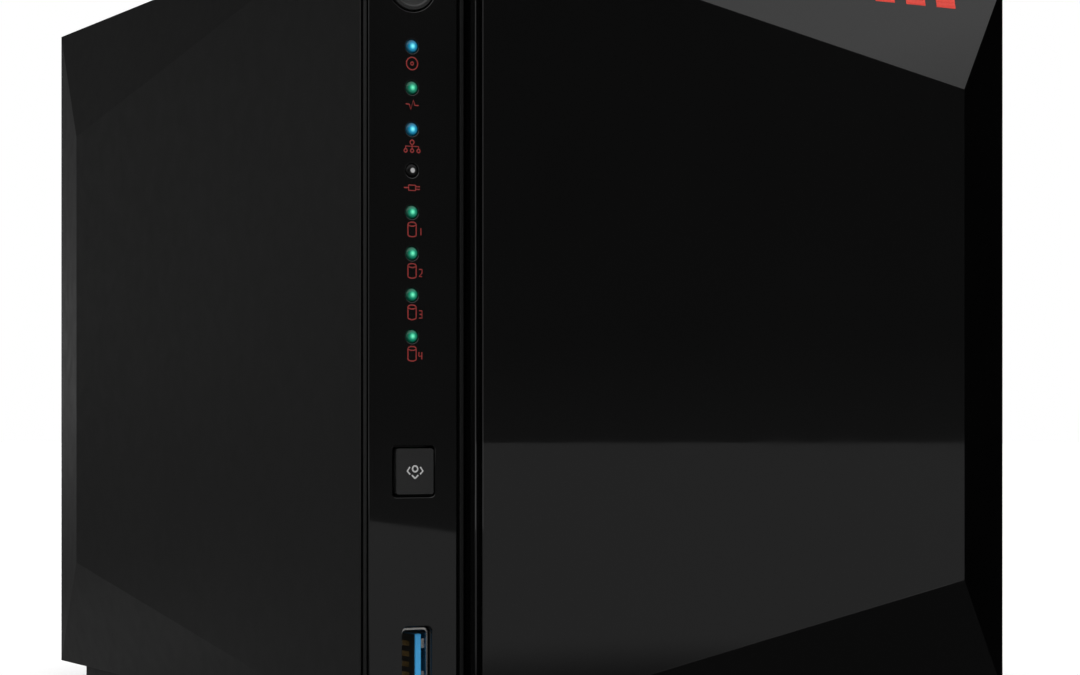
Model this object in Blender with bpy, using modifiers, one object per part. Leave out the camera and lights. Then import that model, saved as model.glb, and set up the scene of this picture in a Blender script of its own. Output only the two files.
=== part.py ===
"""A four-bay desktop network storage enclosure, as separate pieces that fit together.

The front faces -Y, +Z is up, and the origin is under the middle of the box, on the desk.
Lengths are named in millimetres and turned into metres as each mesh is made.
"""

import math

import bmesh
import bpy
from mathutils import Matrix, Vector

MM = 0.001
GAP = 0.3  # clearance between pieces that touch

# ---- outer form ----
WIDTH = 168.0
DEPTH = 210.0
HEIGHT = 175.0
HALF_WIDTH = WIDTH / 2
SHELL_FRONT = -99.0
SHELL_REAR = 101.0
SHELL_BOTTOM = 7.0

# ---- side panels: a flat middle, two long triangular facets and a rear chamfer ----
PANEL_WALL = 1.6
PANEL_REAR_HALF_WIDTH = 77.5
PANEL_CHAMFER_FRONT = 71.0
PANEL_TOP_VERTEX = 145.0
PANEL_BOTTOM_VERTEX = 34.7
RIGHT_PANEL_FRONT = -95.9
PANEL_RIBS = (60.0, 120.0)

# ---- front cover: the same cut, with its vertices at the right ----
COVER_FACE = -DEPTH / 2
COVER_LEFT = -58.5
COVER_RIGHT = 82.6
COVER_BOTTOM = 7.8
COVER_TOP = 174.2
COVER_VERTEX_X = 67.1
COVER_TOP_VERTEX = 147.7
COVER_BOTTOM_VERTEX = 34.7
COVER_FACET_DEPTH = 5.4
COVER_SKIN = 2.2
COVER_WALL = 3.3
COVER_TO_BEZEL = 3.6
MAGNET_RADIUS = 3.5
MAGNET_THICKNESS = 2.0
MAGNETS = ((-48.0, 162.0, -102.5), (57.0, 158.0, -100.2), (-48.0, 20.5, -102.5), (57.0, 24.0, -100.2))

# ---- status strip, its lights, buttons, switches and port ----
STRIP = ((-82.1, -60.8), (-99.3, -97.3), (7.5, 174.5))
LIGHT_X = -72.1
LIGHT_COUNT = 8
LIGHT_TOP = 149.0
LIGHT_PITCH = 8.6
LIGHT_RADIUS = 1.15
POWER_BUTTON_CENTRE = (-72.1, 161.7)
POWER_BUTTON_RADIUS = 5.2
COPY_BUTTON_CENTRE = (-71.7, 60.7)
COPY_BUTTON_SIZE = (8.6, 9.5)
FRONT_USB_CENTRE = (-70.95, 21.3)
USB_SHELL = (6.1, 13.4)
USB_MOUTH = (5.1, 12.4)
USB_TONGUE_HEIGHT = 11.0
STATUS_BOARD = ((-80.5, -64.0), (-90.4, -88.8), (50.0, 169.0))
SWITCH_SIZE = 6.2
SWITCH_DEPTH = (-93.5, -90.7)
BUTTON_STEM_MIDDLE = -96.0
BUTTON_STEM_LENGTH = 2.6

# ---- bays, trays and drives ----
BAY_CENTRES = (-40.5, -7.5, 25.5, 58.5)
BAY_HALF_WIDTH = 15.9
BAY_HEIGHT = (29.5, 152.5)
CAGE_DEPTH = (-87.0, 58.0)
CAGE_FLOOR = (36.6, 37.6)
CAGE_ROOF = (144.4, 145.4)
CAGE_INSIDE = (-56.3, 74.9)
TRAY_FRONT = -97.0
TRAY_PLATE = 2.8
TRAY_REAR = 50.0
DRIVE_SIZE = (26.1, 147.0, 101.6)
DRIVE_FRONT = -93.9
DRIVE_BOTTOM = 40.2
TRAY_WIDTH = 31.2
TRAY_HEIGHT = (30.0, 152.0)
TRAY_VENT_Z = (53, 72, 91, 110, 129)
RAIL_THICKNESS = 2.0
LEVER_PIVOT = (-94.5, 35.0)
LEVER_HALF_WIDTH = 6.5
LEVER_LOW = 34.0
LEVER_HIGH = 146.0
LEVER_BARREL_RADIUS = 2.4
LEVER_PIN_RADIUS = 1.0
LEVER_BORE_RADIUS = 1.35
LEVER_EARS = (7.0, 10.6)  # how far the two ears reach from the middle of the tray

# ---- rear ----
REAR_PLATE = (99.8, 101.0)
FAN_CENTRE = (9.5, 91.0)
FAN_SIZE = 120.0
FAN_DEPTH = 25.0
FAN_BORE = 58.0
VENT_RADIUS = 57.0
VENT_PITCH = 12.0
VENT_HOLE_RADIUS = 5.8
FAN_HUB_RADIUS = 20.0
FAN_MIDDLE = 86.2
FAN_BLADES = 9
FAN_SCREW_OFFSET = 52.5
BOARD_FACE = -60.6
PORTS_X = -67.6
LAN_Z = 121.0
REAR_USB_X = -63.9
REAR_USB_Z = (96.0, 77.0)
DC_CENTRE = (-65.6, 52.0)
RESET_Z = 137.0
LOCK_SLOT_Z = 148.0
THUMB_SCREWS = (("left", -69.0), ("right", 69.0))
THUMB_SCREW_Z = 164.0

# ---- base ----
PLINTH = ((-76.0, 76.0), (-88.0, 86.0), (3.0, 6.9))
FOOT_CENTRES = (
    ("front_left", -62.0, -74.0),
    ("front_right", 62.0, -74.0),
    ("rear_left", -62.0, 72.0),
    ("rear_right", 62.0, 72.0),
)

for old in list(bpy.data.objects):
    bpy.data.objects.remove(old)

pieces = bpy.data.collections.new("nas_enclosure")
helpers = bpy.data.collections.new("cutters")
bpy.context.scene.collection.children.link(pieces)
bpy.context.scene.collection.children.link(helpers)


def material(name, colour, roughness, metallic=0.0):
    made = bpy.data.materials.new(name)
    made.use_nodes = True
    shader = made.node_tree.nodes["Principled BSDF"]
    shader.inputs["Base Color"].default_value = (*colour, 1.0)
    shader.inputs["Roughness"].default_value = roughness
    shader.inputs["Metallic"].default_value = metallic
    return made


SATIN_BLACK = material("satin_black_plastic", (0.022, 0.022, 0.022), 0.5)
GLOSS_BLACK = material("gloss_black_plastic", (0.008, 0.008, 0.008), 0.08)
DARK_PLASTIC = material("dark_plastic", (0.015, 0.015, 0.016), 0.6)
BLACK_STEEL = material("black_steel", (0.02, 0.02, 0.02), 0.45, 0.3)
BARE_STEEL = material("galvanised_steel", (0.6, 0.61, 0.62), 0.35, 1.0)
ALUMINIUM = material("aluminium", (0.7, 0.71, 0.72), 0.4, 1.0)
CIRCUIT_BOARD = material("circuit_board", (0.01, 0.09, 0.035), 0.45)
RUBBER = material("rubber", (0.012, 0.012, 0.012), 0.85)
CLEAR_PLASTIC = material("light_guide_plastic", (0.75, 0.8, 0.82), 0.2)
BLUE_PLASTIC = material("blue_plastic", (0.01, 0.16, 0.65), 0.35)
MAGNET_METAL = material("magnet_metal", (0.7, 0.7, 0.7), 0.25, 1.0)


# ---- mesh helpers ----


def box_mesh(bm, x, y, z):
    """Adds an upright box between two limits on each axis."""
    spans = [(high - low) * MM for low, high in (x, y, z)]
    middle = Vector(((sum(x) / 2) * MM, (sum(y) / 2) * MM, (sum(z) / 2) * MM))
    place = Matrix.Translation(middle) @ Matrix.Diagonal((*spans, 1.0))
    bmesh.ops.create_cube(bm, size=1.0, matrix=place)


def rod_mesh(bm, centre, radius, length, axis="Y", segments=24, end_radius=None):
    """Adds a cylinder or cone about a row axis. centre is its middle point."""
    turn = {"X": Matrix.Rotation(math.pi / 2, 4, "Y"), "Y": Matrix.Rotation(math.pi / 2, 4, "X")}
    place = Matrix.Translation(Vector(centre) * MM) @ turn.get(axis, Matrix.Identity(4))
    bmesh.ops.create_cone(
        bm,
        cap_ends=True,
        segments=segments,
        radius1=radius * MM,
        radius2=(radius if end_radius is None else end_radius) * MM,
        depth=length * MM,
        matrix=place,
    )


def cut_flat(bm, corners, keep):
    """Slices everything beyond the plane through three corners, on the side away from keep."""
    a, b, c = (Vector(corner) * MM for corner in corners)
    normal = (b - a).cross(c - a).normalized()
    if normal.dot(Vector(keep) * MM - a) > 0:
        normal = -normal
    everything = bm.verts[:] + bm.edges[:] + bm.faces[:]
    cut = bmesh.ops.bisect_plane(bm, geom=everything, plane_co=a, plane_no=normal, clear_outer=True)
    rim = [found for found in cut["geom_cut"] if isinstance(found, bmesh.types.BMEdge)]
    bmesh.ops.edgeloop_fill(bm, edges=rim)


def finish(name, bm, look, origin=(0.0, 0.0, 0.0), helper=False):
    """Turns a bmesh into an object whose origin is at a point in millimetres."""
    bmesh.ops.recalc_face_normals(bm, faces=bm.faces)
    bmesh.ops.translate(bm, verts=bm.verts, vec=-Vector(origin) * MM)
    mesh = bpy.data.meshes.new(name)
    bm.to_mesh(mesh)
    bm.free()
    mesh.shade_smooth()
    mesh.set_sharp_from_angle(angle=math.radians(35))
    made = bpy.data.objects.new(name, mesh)
    made.location = Vector(origin) * MM
    if helper:
        made.hide_render = True
        made.display_type = "WIRE"
        helpers.objects.link(made)
    else:
        mesh.materials.append(look)
        pieces.objects.link(made)
    return made


def boxes(name, spans, look=None, origin=(0.0, 0.0, 0.0), helper=False):
    bm = bmesh.new()
    for x, y, z in spans:
        box_mesh(bm, x, y, z)
    return finish(name, bm, look, origin, helper)


def rods(name, places, look=None, origin=(0.0, 0.0, 0.0), helper=False, **shape):
    """One object of rods that share a radius, a length and an axis."""
    bm = bmesh.new()
    for centre in places:
        rod_mesh(bm, centre, **shape)
    return finish(name, bm, look, origin, helper)


def combine(target, operation, *tools):
    for tool in tools:
        step = target.modifiers.new(tool.name, "BOOLEAN")
        step.operation = operation
        step.solver = "EXACT"
        step.object = tool


def soften(target, width, segments=1):
    bevel = target.modifiers.new("rounded_edges", "BEVEL")
    bevel.width = width * MM
    bevel.segments = segments
    bevel.limit_method = "ANGLE"
    bevel.angle_limit = math.radians(30)


def attach(parent, *children):
    bpy.context.view_layer.update()
    for child in children:
        child.parent = parent
        child.matrix_parent_inverse = parent.matrix_world.inverted()


def around(middle, size):
    return middle - size / 2, middle + size / 2


# ---- outer shell ----


def side_form(bm, side, shift, y, z):
    """The faceted outside of a side panel. side is -1 at the left, and shift moves it inwards."""

    def at(half_width, depth, height):
        return side * (half_width - shift), depth, height

    edge = HALF_WIDTH - shift
    box_mesh(bm, sorted((side * edge, side * (PANEL_REAR_HALF_WIDTH - 2.5))), y, z)
    inside = (0.0, 0.0, HEIGHT / 2)
    rear = PANEL_REAR_HALF_WIDTH
    upper = at(HALF_WIDTH, PANEL_CHAMFER_FRONT, PANEL_TOP_VERTEX)
    lower = at(HALF_WIDTH, PANEL_CHAMFER_FRONT, PANEL_BOTTOM_VERTEX)
    cut_flat(bm, (upper, lower, at(rear, SHELL_REAR, HEIGHT)), inside)
    cut_flat(bm, (upper, at(HALF_WIDTH, SHELL_FRONT, HEIGHT), at(rear, SHELL_REAR, HEIGHT)), inside)
    cut_flat(
        bm, (lower, at(HALF_WIDTH, SHELL_FRONT, SHELL_BOTTOM), at(rear, SHELL_REAR, SHELL_BOTTOM)), inside
    )


def side_panel(name, side, front):
    bm = bmesh.new()
    side_form(bm, side, 0.0, (front, SHELL_REAR), (SHELL_BOTTOM, HEIGHT))
    panel = finish(name, bm, SATIN_BLACK)
    bm = bmesh.new()
    side_form(bm, side, PANEL_WALL, (front - 5, SHELL_REAR + 5), (SHELL_BOTTOM - 5, HEIGHT + 5))
    combine(panel, "DIFFERENCE", finish(name + "_inside", bm, None, helper=True))
    inner = HALF_WIDTH - PANEL_WALL
    across = sorted((side * (inner + 0.5), side * (inner - 2.0)))
    ribs = [(across, (-80, 60), around(z, 1.4)) for z in PANEL_RIBS]
    combine(panel, "UNION", boxes(name + "_ribs", ribs, helper=True))


def plan_cut(bm, front_half, rear_half, front, rear):
    """Tapers a plate in plan, from one half width at the front to another at the rear."""
    for side in (-1, 1):
        start, end = (side * front_half, front), (side * rear_half, rear)
        cut_flat(bm, ((*start, 0.0), (*end, 0.0), (*end, 100.0)), (0.0, 0.0, 50.0))


def top_cover():
    bm = bmesh.new()
    box_mesh(bm, (-84, 84), (-92, SHELL_REAR), (172.8, HEIGHT))
    plan_cut(bm, 81.7, 75.4, -92, SHELL_REAR)
    cover = finish("top_cover", bm, SATIN_BLACK)
    flanges = [(around(side * 72, 1.6), (-84, 94), (166, 173.5)) for side in (-1, 1)]
    combine(cover, "UNION", boxes("top_cover_flanges", flanges, helper=True))


def base():
    bm = bmesh.new()
    box_mesh(bm, (-84, 84), (-90, 99.4), (7.3, 8.8))
    plan_cut(bm, 81.4, 75.1, -90, 99.4)
    finish("base_pan", bm, BARE_STEEL)
    x, y, z = PLINTH
    plinth = boxes("base_plinth", [PLINTH], DARK_PLASTIC)
    soften(plinth, 0.6)
    hollow = [((x[0] + 2.4, x[1] - 2.4), (y[0] + 2.4, y[1] - 2.4), (z[0] - 2, z[1] - 1.5))]
    combine(plinth, "DIFFERENCE", boxes("base_plinth_inside", hollow, helper=True))
    for place, foot_x, foot_y in FOOT_CENTRES:
        bm = bmesh.new()
        rod_mesh(bm, (foot_x, foot_y, 2.55), 8.0, 5.1, "Z", 20)
        soften(finish("foot_" + place, bm, RUBBER), 0.8)


# ---- front ----


def front_form(bm, shift, x, z, back):
    """The faceted front of the cover, moved back by shift."""
    box_mesh(bm, x, (COVER_FACE + shift, back), z)
    face = COVER_FACE + shift
    side = COVER_FACE + COVER_FACET_DEPTH + shift
    inside = (0.0, 0.0, HEIGHT / 2)
    upper = (COVER_VERTEX_X, face, COVER_TOP_VERTEX)
    lower = (COVER_VERTEX_X, face, COVER_BOTTOM_VERTEX)
    cut_flat(bm, (upper, lower, (COVER_RIGHT, side, COVER_TOP)), inside)
    cut_flat(bm, (upper, (COVER_LEFT, face, COVER_TOP), (COVER_RIGHT, side, COVER_TOP)), inside)
    cut_flat(bm, (lower, (COVER_LEFT, face, COVER_BOTTOM), (COVER_RIGHT, side, COVER_BOTTOM)), inside)


def front_cover():
    bm = bmesh.new()
    front_form(bm, 0.0, (COVER_LEFT, COVER_RIGHT), (COVER_BOTTOM, COVER_TOP), -92.0)
    cover = finish("front_cover", bm, GLOSS_BLACK, (12.0, COVER_FACE, 91.0))
    bm = bmesh.new()
    front_form(bm, COVER_WALL, (COVER_LEFT - 5, COVER_RIGHT + 5), (0, HEIGHT + 5), -85.0)
    behind = finish("front_cover_behind", bm, None, helper=True)
    bm = bmesh.new()
    across = (COVER_LEFT + COVER_SKIN, COVER_RIGHT - COVER_SKIN)
    front_form(bm, COVER_SKIN, across, (COVER_BOTTOM + COVER_SKIN, COVER_TOP - COVER_SKIN), -85.0)
    combine(cover, "DIFFERENCE", behind, finish("front_cover_inside", bm, None, helper=True))
    sloped = [(x, (-102.4 + y - GAP) / 2, z) for x, z, y in MAGNETS if x > 0]
    bosses = rods(
        "front_cover_bosses", sloped, helper=True, radius=4.5, length=-100.2 - GAP + 102.4, segments=14
    )
    combine(cover, "UNION", bosses)
    for number, (x, z, front) in enumerate(MAGNETS, 1):
        bm = bmesh.new()
        rod_mesh(bm, (x, front + MAGNET_THICKNESS / 2, z), MAGNET_RADIUS, MAGNET_THICKNESS)
        attach(cover, finish(f"cover_magnet_{number}", bm, MAGNET_METAL))


def strip_openings(name, y, spread):
    """Cutters for the lights, buttons and port, each wider than its piece by spread."""
    middle = sum(y) / 2
    lights = [(LIGHT_X, middle, LIGHT_TOP - i * LIGHT_PITCH) for i in range(LIGHT_COUNT)]
    length = y[1] - y[0]
    x, z = POWER_BUTTON_CENTRE
    power = rods(
        name + "_power",
        [(x, middle, z)],
        helper=True,
        radius=POWER_BUTTON_RADIUS + spread,
        length=length,
        segments=32,
    )
    copy = (
        around(COPY_BUTTON_CENTRE[0], COPY_BUTTON_SIZE[0] + 2 * spread),
        y,
        around(COPY_BUTTON_CENTRE[1], COPY_BUTTON_SIZE[1] + 2 * spread),
    )
    usb = (
        around(FRONT_USB_CENTRE[0], USB_SHELL[0] + 2 * spread),
        y,
        around(FRONT_USB_CENTRE[1], USB_SHELL[1] + 2 * spread),
    )
    radius = LIGHT_RADIUS + GAP / 2
    light_holes = rods(name + "_lights", lights, helper=True, radius=radius, length=length, segments=8)
    return light_holes, power, boxes(name + "_squares", [copy, usb], helper=True)


def status_strip():
    strip = boxes("status_strip", [STRIP], GLOSS_BLACK)
    combine(strip, "DIFFERENCE", *strip_openings("strip_hole", (-101, -95), GAP))


def front_bezel():
    bm = bmesh.new()
    front_form(bm, COVER_TO_BEZEL, (COVER_LEFT + GAP, 82.0), (7.5, 174.5), -92.3)
    bezel = finish("front_bezel", bm, DARK_PLASTIC)
    webs = {
        "strip_backing": ((-82.0, -60.9), (-97.0, -94.6), (7.5, 174.5)),
        "groove_side": ((-62.4, -60.9), (-96.5, -90.5), (9.3, 172.4)),
        "groove_floor": ((-62.0, -55.5), (-92.9, -90.5), (9.3, 172.4)),
        "top_rim": ((-81.9, -57.0), (-96.0, -92.3), (172.9, 174.4)),
        "bottom_rim": ((-81.9, -57.0), (-96.0, -92.3), (7.6, 9.1)),
    }
    for web, span in webs.items():
        combine(bezel, "UNION", boxes("front_bezel_" + web, [span], helper=True))
    bays = [(around(x, 2 * BAY_HALF_WIDTH), (COVER_FACE, -88), BAY_HEIGHT) for x in BAY_CENTRES]
    combine(bezel, "DIFFERENCE", boxes("front_bezel_bays", bays, helper=True))
    pockets = [(x, front - 2 + (MAGNET_THICKNESS + 0.4) / 2, z) for x, z, front in MAGNETS]
    pocket_length = MAGNET_THICKNESS + 0.4 + 4
    combine(
        bezel,
        "DIFFERENCE",
        rods("front_bezel_pockets", pockets, helper=True, radius=5.0, length=pocket_length, segments=14),
        *strip_openings("bezel_hole", (-99, -93.5), GAP),
    )


def status_board():
    boxes("status_board", [STATUS_BOARD], CIRCUIT_BOARD)
    for name, (x, z) in (("power_switch", POWER_BUTTON_CENTRE), ("copy_switch", COPY_BUTTON_CENTRE)):
        boxes(name, [(around(x, SWITCH_SIZE), SWITCH_DEPTH, around(z, SWITCH_SIZE))], DARK_PLASTIC)
    low = LIGHT_TOP - (LIGHT_COUNT - 1) * LIGHT_PITCH
    spine = (around(LIGHT_X, 3.6), (-93.0, -91.2), (low - 2.4, LIGHT_TOP + 2.4))
    guide = boxes("light_guide", [spine], CLEAR_PLASTIC)
    pipes = [(LIGHT_X, -96.05, LIGHT_TOP - i * LIGHT_PITCH) for i in range(LIGHT_COUNT)]
    combine(
        guide,
        "UNION",
        rods("light_guide_pipes", pipes, helper=True, radius=LIGHT_RADIUS - 0.1, length=6.5, segments=8),
    )


def button_stem(name, x, z):
    """The pin behind a button that presses its switch."""
    place = [(x, BUTTON_STEM_MIDDLE, z)]
    return rods(name, place, helper=True, radius=2.3, length=BUTTON_STEM_LENGTH, segments=16)


def power_button():
    x, z = POWER_BUTTON_CENTRE
    bm = bmesh.new()
    rod_mesh(bm, (x, -98.2, z), POWER_BUTTON_RADIUS, 3.0, segments=32)
    button = finish("power_button", bm, SATIN_BLACK, (x, -99.7, z))
    soften(button, 0.3)
    combine(button, "UNION", button_stem("power_button_stem", x, z))


def copy_button():
    x, z = COPY_BUTTON_CENTRE
    wide, tall = COPY_BUTTON_SIZE
    span = (around(x, wide), (-99.9, -96.7), around(z, tall))
    button = boxes("copy_button", [span], SATIN_BLACK, (x, -99.9, z))
    soften(button, 0.4)
    combine(button, "UNION", button_stem("copy_button_stem", x, z))


def usb_shell(name, centre, size, mouth, y, open_towards, tongue_in_shell):
    """A port's metal shell: a sleeve closed at its inner end. size and mouth are (across X, up Z)."""
    x, z = centre
    shell = boxes(name, [(around(x, size[0]), y, around(z, size[1]))], BARE_STEEL)
    inner = (y[0] - 3, y[1] - 1.2) if open_towards < 0 else (y[0] + 1.2, y[1] + 3)
    mouth_cut = boxes(name + "_mouth", [(around(x, mouth[0]), inner, around(z, mouth[1]))], helper=True)
    combine(shell, "DIFFERENCE", mouth_cut)
    if tongue_in_shell:
        reach = (y[0] + 0.6, y[1] - 1.5)
        bar = (around(x + 0.6, 1.8), reach, around(z, USB_TONGUE_HEIGHT))
        tongue = boxes(name + "_contact_bar", [bar], helper=True)
        combine(shell, "UNION", tongue)
    return shell


def front_usb():
    x, z = FRONT_USB_CENTRE
    usb_shell("usb_front_shell", FRONT_USB_CENTRE, USB_SHELL, USB_MOUTH, (-98.9, -84.0), -1, False)
    tongue = ((x - 0.6, x + 1.4), (-97.6, -85.5), around(z, USB_TONGUE_HEIGHT))
    boxes("usb_front_tongue", [tongue], BLUE_PLASTIC)


# ---- bays ----


def tray(number, centre):
    name = f"tray_{number}"
    rear, plate_back = TRAY_REAR, TRAY_FRONT + TRAY_PLATE
    drive_top = DRIVE_BOTTOM + DRIVE_SIZE[2]
    body = boxes(
        name,
        [(around(centre, TRAY_WIDTH), (TRAY_FRONT, plate_back), TRAY_HEIGHT)],
        SATIN_BLACK,
        (centre, TRAY_FRONT, 91.0),
    )
    rail = (centre - 15, centre + 13)
    low = (DRIVE_BOTTOM - GAP - RAIL_THICKNESS, DRIVE_BOTTOM - GAP)
    high = (drive_top + GAP, drive_top + GAP + RAIL_THICKNESS)
    depth = (plate_back - 0.5, rear)
    near, far = LEVER_EARS
    ear = ((TRAY_FRONT, -92.2), (32.4, 37.6))
    webs = {
        "bottom_rail": (rail, depth, low),
        "top_rail": (rail, depth, high),
        "side_plate": ((centre - 15, centre - 13.6), depth, (low[0], high[1])),
        "left_ear": ((centre - far, centre - near), *ear),
        "right_ear": ((centre + near, centre + far), *ear),
    }
    for web, span in webs.items():
        combine(body, "UNION", boxes(f"{name}_{web}", [span], helper=True))
    windows = [((centre - 17, centre - 12), around(y, 44), (54, 128)) for y in (-56, 0)]
    windows.append((around(centre, 2 * near), (-99, -93), (31.0, 38.6)))
    vents = [
        (around(centre + side * 11, 4.4), (-99, -94.0), around(z, 15))
        for side in (-1, 1)
        for z in TRAY_VENT_Z
    ]
    pin_hole = lever_bore(name + "_pin_hole", centre)
    combine(body, "DIFFERENCE", boxes(name + "_cuts", windows + vents, helper=True), pin_hole)
    return body


def lever_bore(name, centre):
    """A cutter along the lever's hinge line, wide enough to turn on the pin."""
    place = [(centre, *LEVER_PIVOT)]
    return rods(name, place, helper=True, radius=LEVER_BORE_RADIUS, length=24, axis="X", segments=12)


def lever(number, centre):
    """The latch lever over a tray's front. It hangs on its pin at the bottom and tips forward."""
    name = f"tray_lever_{number}"
    y, z = LEVER_PIVOT
    half = LEVER_HALF_WIDTH
    bm = bmesh.new()
    rod_mesh(bm, (centre, y, z), LEVER_BARREL_RADIUS, 2 * half, "X", 20)
    body = finish(name, bm, DARK_PLASTIC, (centre, y, z))
    across = (centre - half, centre + half)
    neck = boxes(name + "_neck", [(across, (-98.6, y), (LEVER_LOW, 36.8))], helper=True)
    bar = boxes(name + "_bar", [(across, (-99.8, -97.3), (LEVER_LOW, LEVER_HIGH))], helper=True)
    soften(bar, 0.7)
    combine(body, "UNION", neck, bar)
    grip = boxes(name + "_grip", [(around(centre, 8), (-100.5, -98.6), (128, 141))], helper=True)
    combine(body, "DIFFERENCE", lever_bore(name + "_bore", centre), grip)
    pin = rods(
        f"lever_pin_{number}",
        [(centre, y, z)],
        BARE_STEEL,
        radius=LEVER_PIN_RADIUS,
        length=2 * LEVER_EARS[1] - 0.8,
        axis="X",
        segments=12,
    )
    return body, pin


def drive(number, centre):
    wide, long, tall = DRIVE_SIZE
    left = centre - 13.3
    span = ((left, left + wide), (DRIVE_FRONT, DRIVE_FRONT + long), (DRIVE_BOTTOM, DRIVE_BOTTOM + tall))
    body = boxes(f"drive_{number}", [span], ALUMINIUM)
    soften(body, 1.5, 2)
    rear = DRIVE_FRONT + long
    notch = ((centre - 12.0, centre - 4.0), (rear - 7.5, rear + 2), (45.0, 84.0))
    combine(body, "DIFFERENCE", boxes(f"drive_{number}_notch", [notch], helper=True))
    return body


def cage():
    left, right = CAGE_INSIDE
    floor = boxes("cage_bottom_plate", [(CAGE_INSIDE, CAGE_DEPTH, CAGE_FLOOR)], BARE_STEEL)
    roof = boxes("cage_top_plate", [(CAGE_INSIDE, CAGE_DEPTH, CAGE_ROOF)], BARE_STEEL)
    edges = [centre + 15.5 for centre in BAY_CENTRES[:3]]
    floor_guides = [(around(x, 1.2), (-86, 48), (CAGE_FLOOR[0] + 0.5, 41.0)) for x in edges]
    roof_guides = [(around(x, 1.2), (-86, 48), (141.0, CAGE_ROOF[1] - 0.5)) for x in edges]
    combine(floor, "UNION", boxes("cage_floor_guides", floor_guides, helper=True))
    combine(roof, "UNION", boxes("cage_roof_guides", roof_guides, helper=True))
    height = (9.1, 165.0)
    boxes("cage_left_wall", [((left - GAP - 1.0, left - GAP), CAGE_DEPTH, height)], BARE_STEEL)
    boxes("cage_right_wall", [((right + GAP, right + GAP + 1.0), CAGE_DEPTH, height)], BARE_STEEL)


def backplane():
    board = boxes("backplane_board", [(CAGE_INSIDE, (60.3, 61.9), (36.0, 146.0))], CIRCUIT_BOARD)
    vents = [(around(x + 4, 12), (59, 63), (44, 138)) for x in BAY_CENTRES]
    combine(board, "DIFFERENCE", boxes("backplane_vents", vents, helper=True))
    for number, centre in enumerate(BAY_CENTRES, 1):
        span = ((centre - 10.8, centre - 5.2), (47.0, 60.0), (46.5, 82.5))
        socket = boxes(f"sata_connector_{number}", [span], DARK_PLASTIC)
        soften(socket, 0.5)


# ---- rear ----


def rear_panel():
    panel = boxes("rear_panel", [((-75.4, 75.4), REAR_PLATE, (9.1, 172.5))], BLACK_STEEL)
    middle = sum(REAR_PLATE) / 2
    x, z = FAN_CENTRE
    rows = math.floor(VENT_RADIUS / (VENT_PITCH * math.sqrt(3) / 2))
    bm = bmesh.new()
    for row in range(-rows, rows + 1):
        for column in range(-rows, rows + 1):
            across = (column + (row % 2) / 2) * VENT_PITCH
            up = row * VENT_PITCH * math.sqrt(3) / 2
            if math.hypot(across, up) < VENT_RADIUS - VENT_HOLE_RADIUS:
                rod_mesh(bm, (x + across, middle, z + up), VENT_HOLE_RADIUS, 4, segments=6)
    vent = finish("rear_panel_vent", bm, None, helper=True)
    ports = [
        (around(PORTS_X, 14.4), (97, 104), around(LAN_Z, 16.8)),
        *((around(REAR_USB_X, 6.8), (97, 104), around(usb_z, 14.2)) for usb_z in REAR_USB_Z),
        (around(PORTS_X, 3.2), (97, 104), around(LOCK_SLOT_Z, 7.2)),
    ]
    combine(panel, "DIFFERENCE", vent, boxes("rear_panel_ports", ports, helper=True))
    round_holes = {
        "inlet": ([(DC_CENTRE[0], middle, DC_CENTRE[1])], 4.6, 20),
        "reset": ([(PORTS_X, middle, RESET_Z)], 1.1, 8),
        "screws": ([(screw_x, middle, THUMB_SCREW_Z) for _, screw_x in THUMB_SCREWS], 2.3, 16),
    }
    for hole, (places, radius, sides) in round_holes.items():
        cutter = rods(f"rear_panel_{hole}", places, helper=True, radius=radius, length=6, segments=sides)
        combine(panel, "DIFFERENCE", cutter)
    for place, screw_x in THUMB_SCREWS:
        bm = bmesh.new()
        rod_mesh(bm, (screw_x, 103.15, THUMB_SCREW_Z), 4.5, 3.7, segments=20)
        screw = finish("thumb_screw_" + place, bm, BARE_STEEL)
        soften(screw, 0.4)
        shank = rods(
            f"thumb_screw_{place}_shank",
            [(screw_x, 98.2, THUMB_SCREW_Z)],
            helper=True,
            radius=1.9,
            length=8,
            segments=12,
        )
        combine(screw, "UNION", shank)


def ports():
    lan_x = around(PORTS_X, 13.4)
    lan = boxes("lan_socket", [(lan_x, (80, 100.6), around(LAN_Z, 16))], BARE_STEEL)
    mouth = (around(PORTS_X - 0.4, 7.6), (85.0, 103), around(LAN_Z, 11.7))
    key = ((PORTS_X - 5.8, PORTS_X - 3.5), (85.0, 103), around(LAN_Z, 6.0))
    for step, span in enumerate((mouth, key), 1):
        combine(lan, "DIFFERENCE", boxes(f"lan_socket_cut_{step}", [span], helper=True))
    for place, z in zip(("upper", "lower"), REAR_USB_Z):
        usb_shell("usb_rear_" + place, (REAR_USB_X, z), USB_SHELL, USB_MOUTH, (86.0, 101.4), 1, True)
    x, z = DC_CENTRE
    inlet = boxes("dc_inlet", [((-70.0, -61.0), (86.0, 99.5), around(z, 9))], DARK_PLASTIC)
    collar = rods("dc_inlet_collar", [(x, 99.8, z)], helper=True, radius=4.2, length=2.4, segments=20)
    barrel = rods("dc_inlet_barrel", [(x, 97, z)], helper=True, radius=3.0, length=12, segments=16)
    pin = rods("dc_inlet_pin", [(x, 95, z)], helper=True, radius=1.2, length=10, segments=10)
    combine(inlet, "UNION", collar)
    combine(inlet, "DIFFERENCE", barrel)
    combine(inlet, "UNION", pin)


def mainboard():
    boxes("mainboard", [((BOARD_FACE, -59.0), (-70, 98.5), (12, 160))], CIRCUIT_BOARD)
    sink = boxes("heat_sink", [((-63.4, BOARD_FACE - GAP), (-22, 26), (72, 120))], ALUMINIUM)
    fins = [((-74.0, -62.9), (-22, 26), around(73.0 + 5.75 * i, 1.4)) for i in range(9)]
    combine(sink, "UNION", boxes("heat_sink_fins", fins, helper=True))


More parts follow.
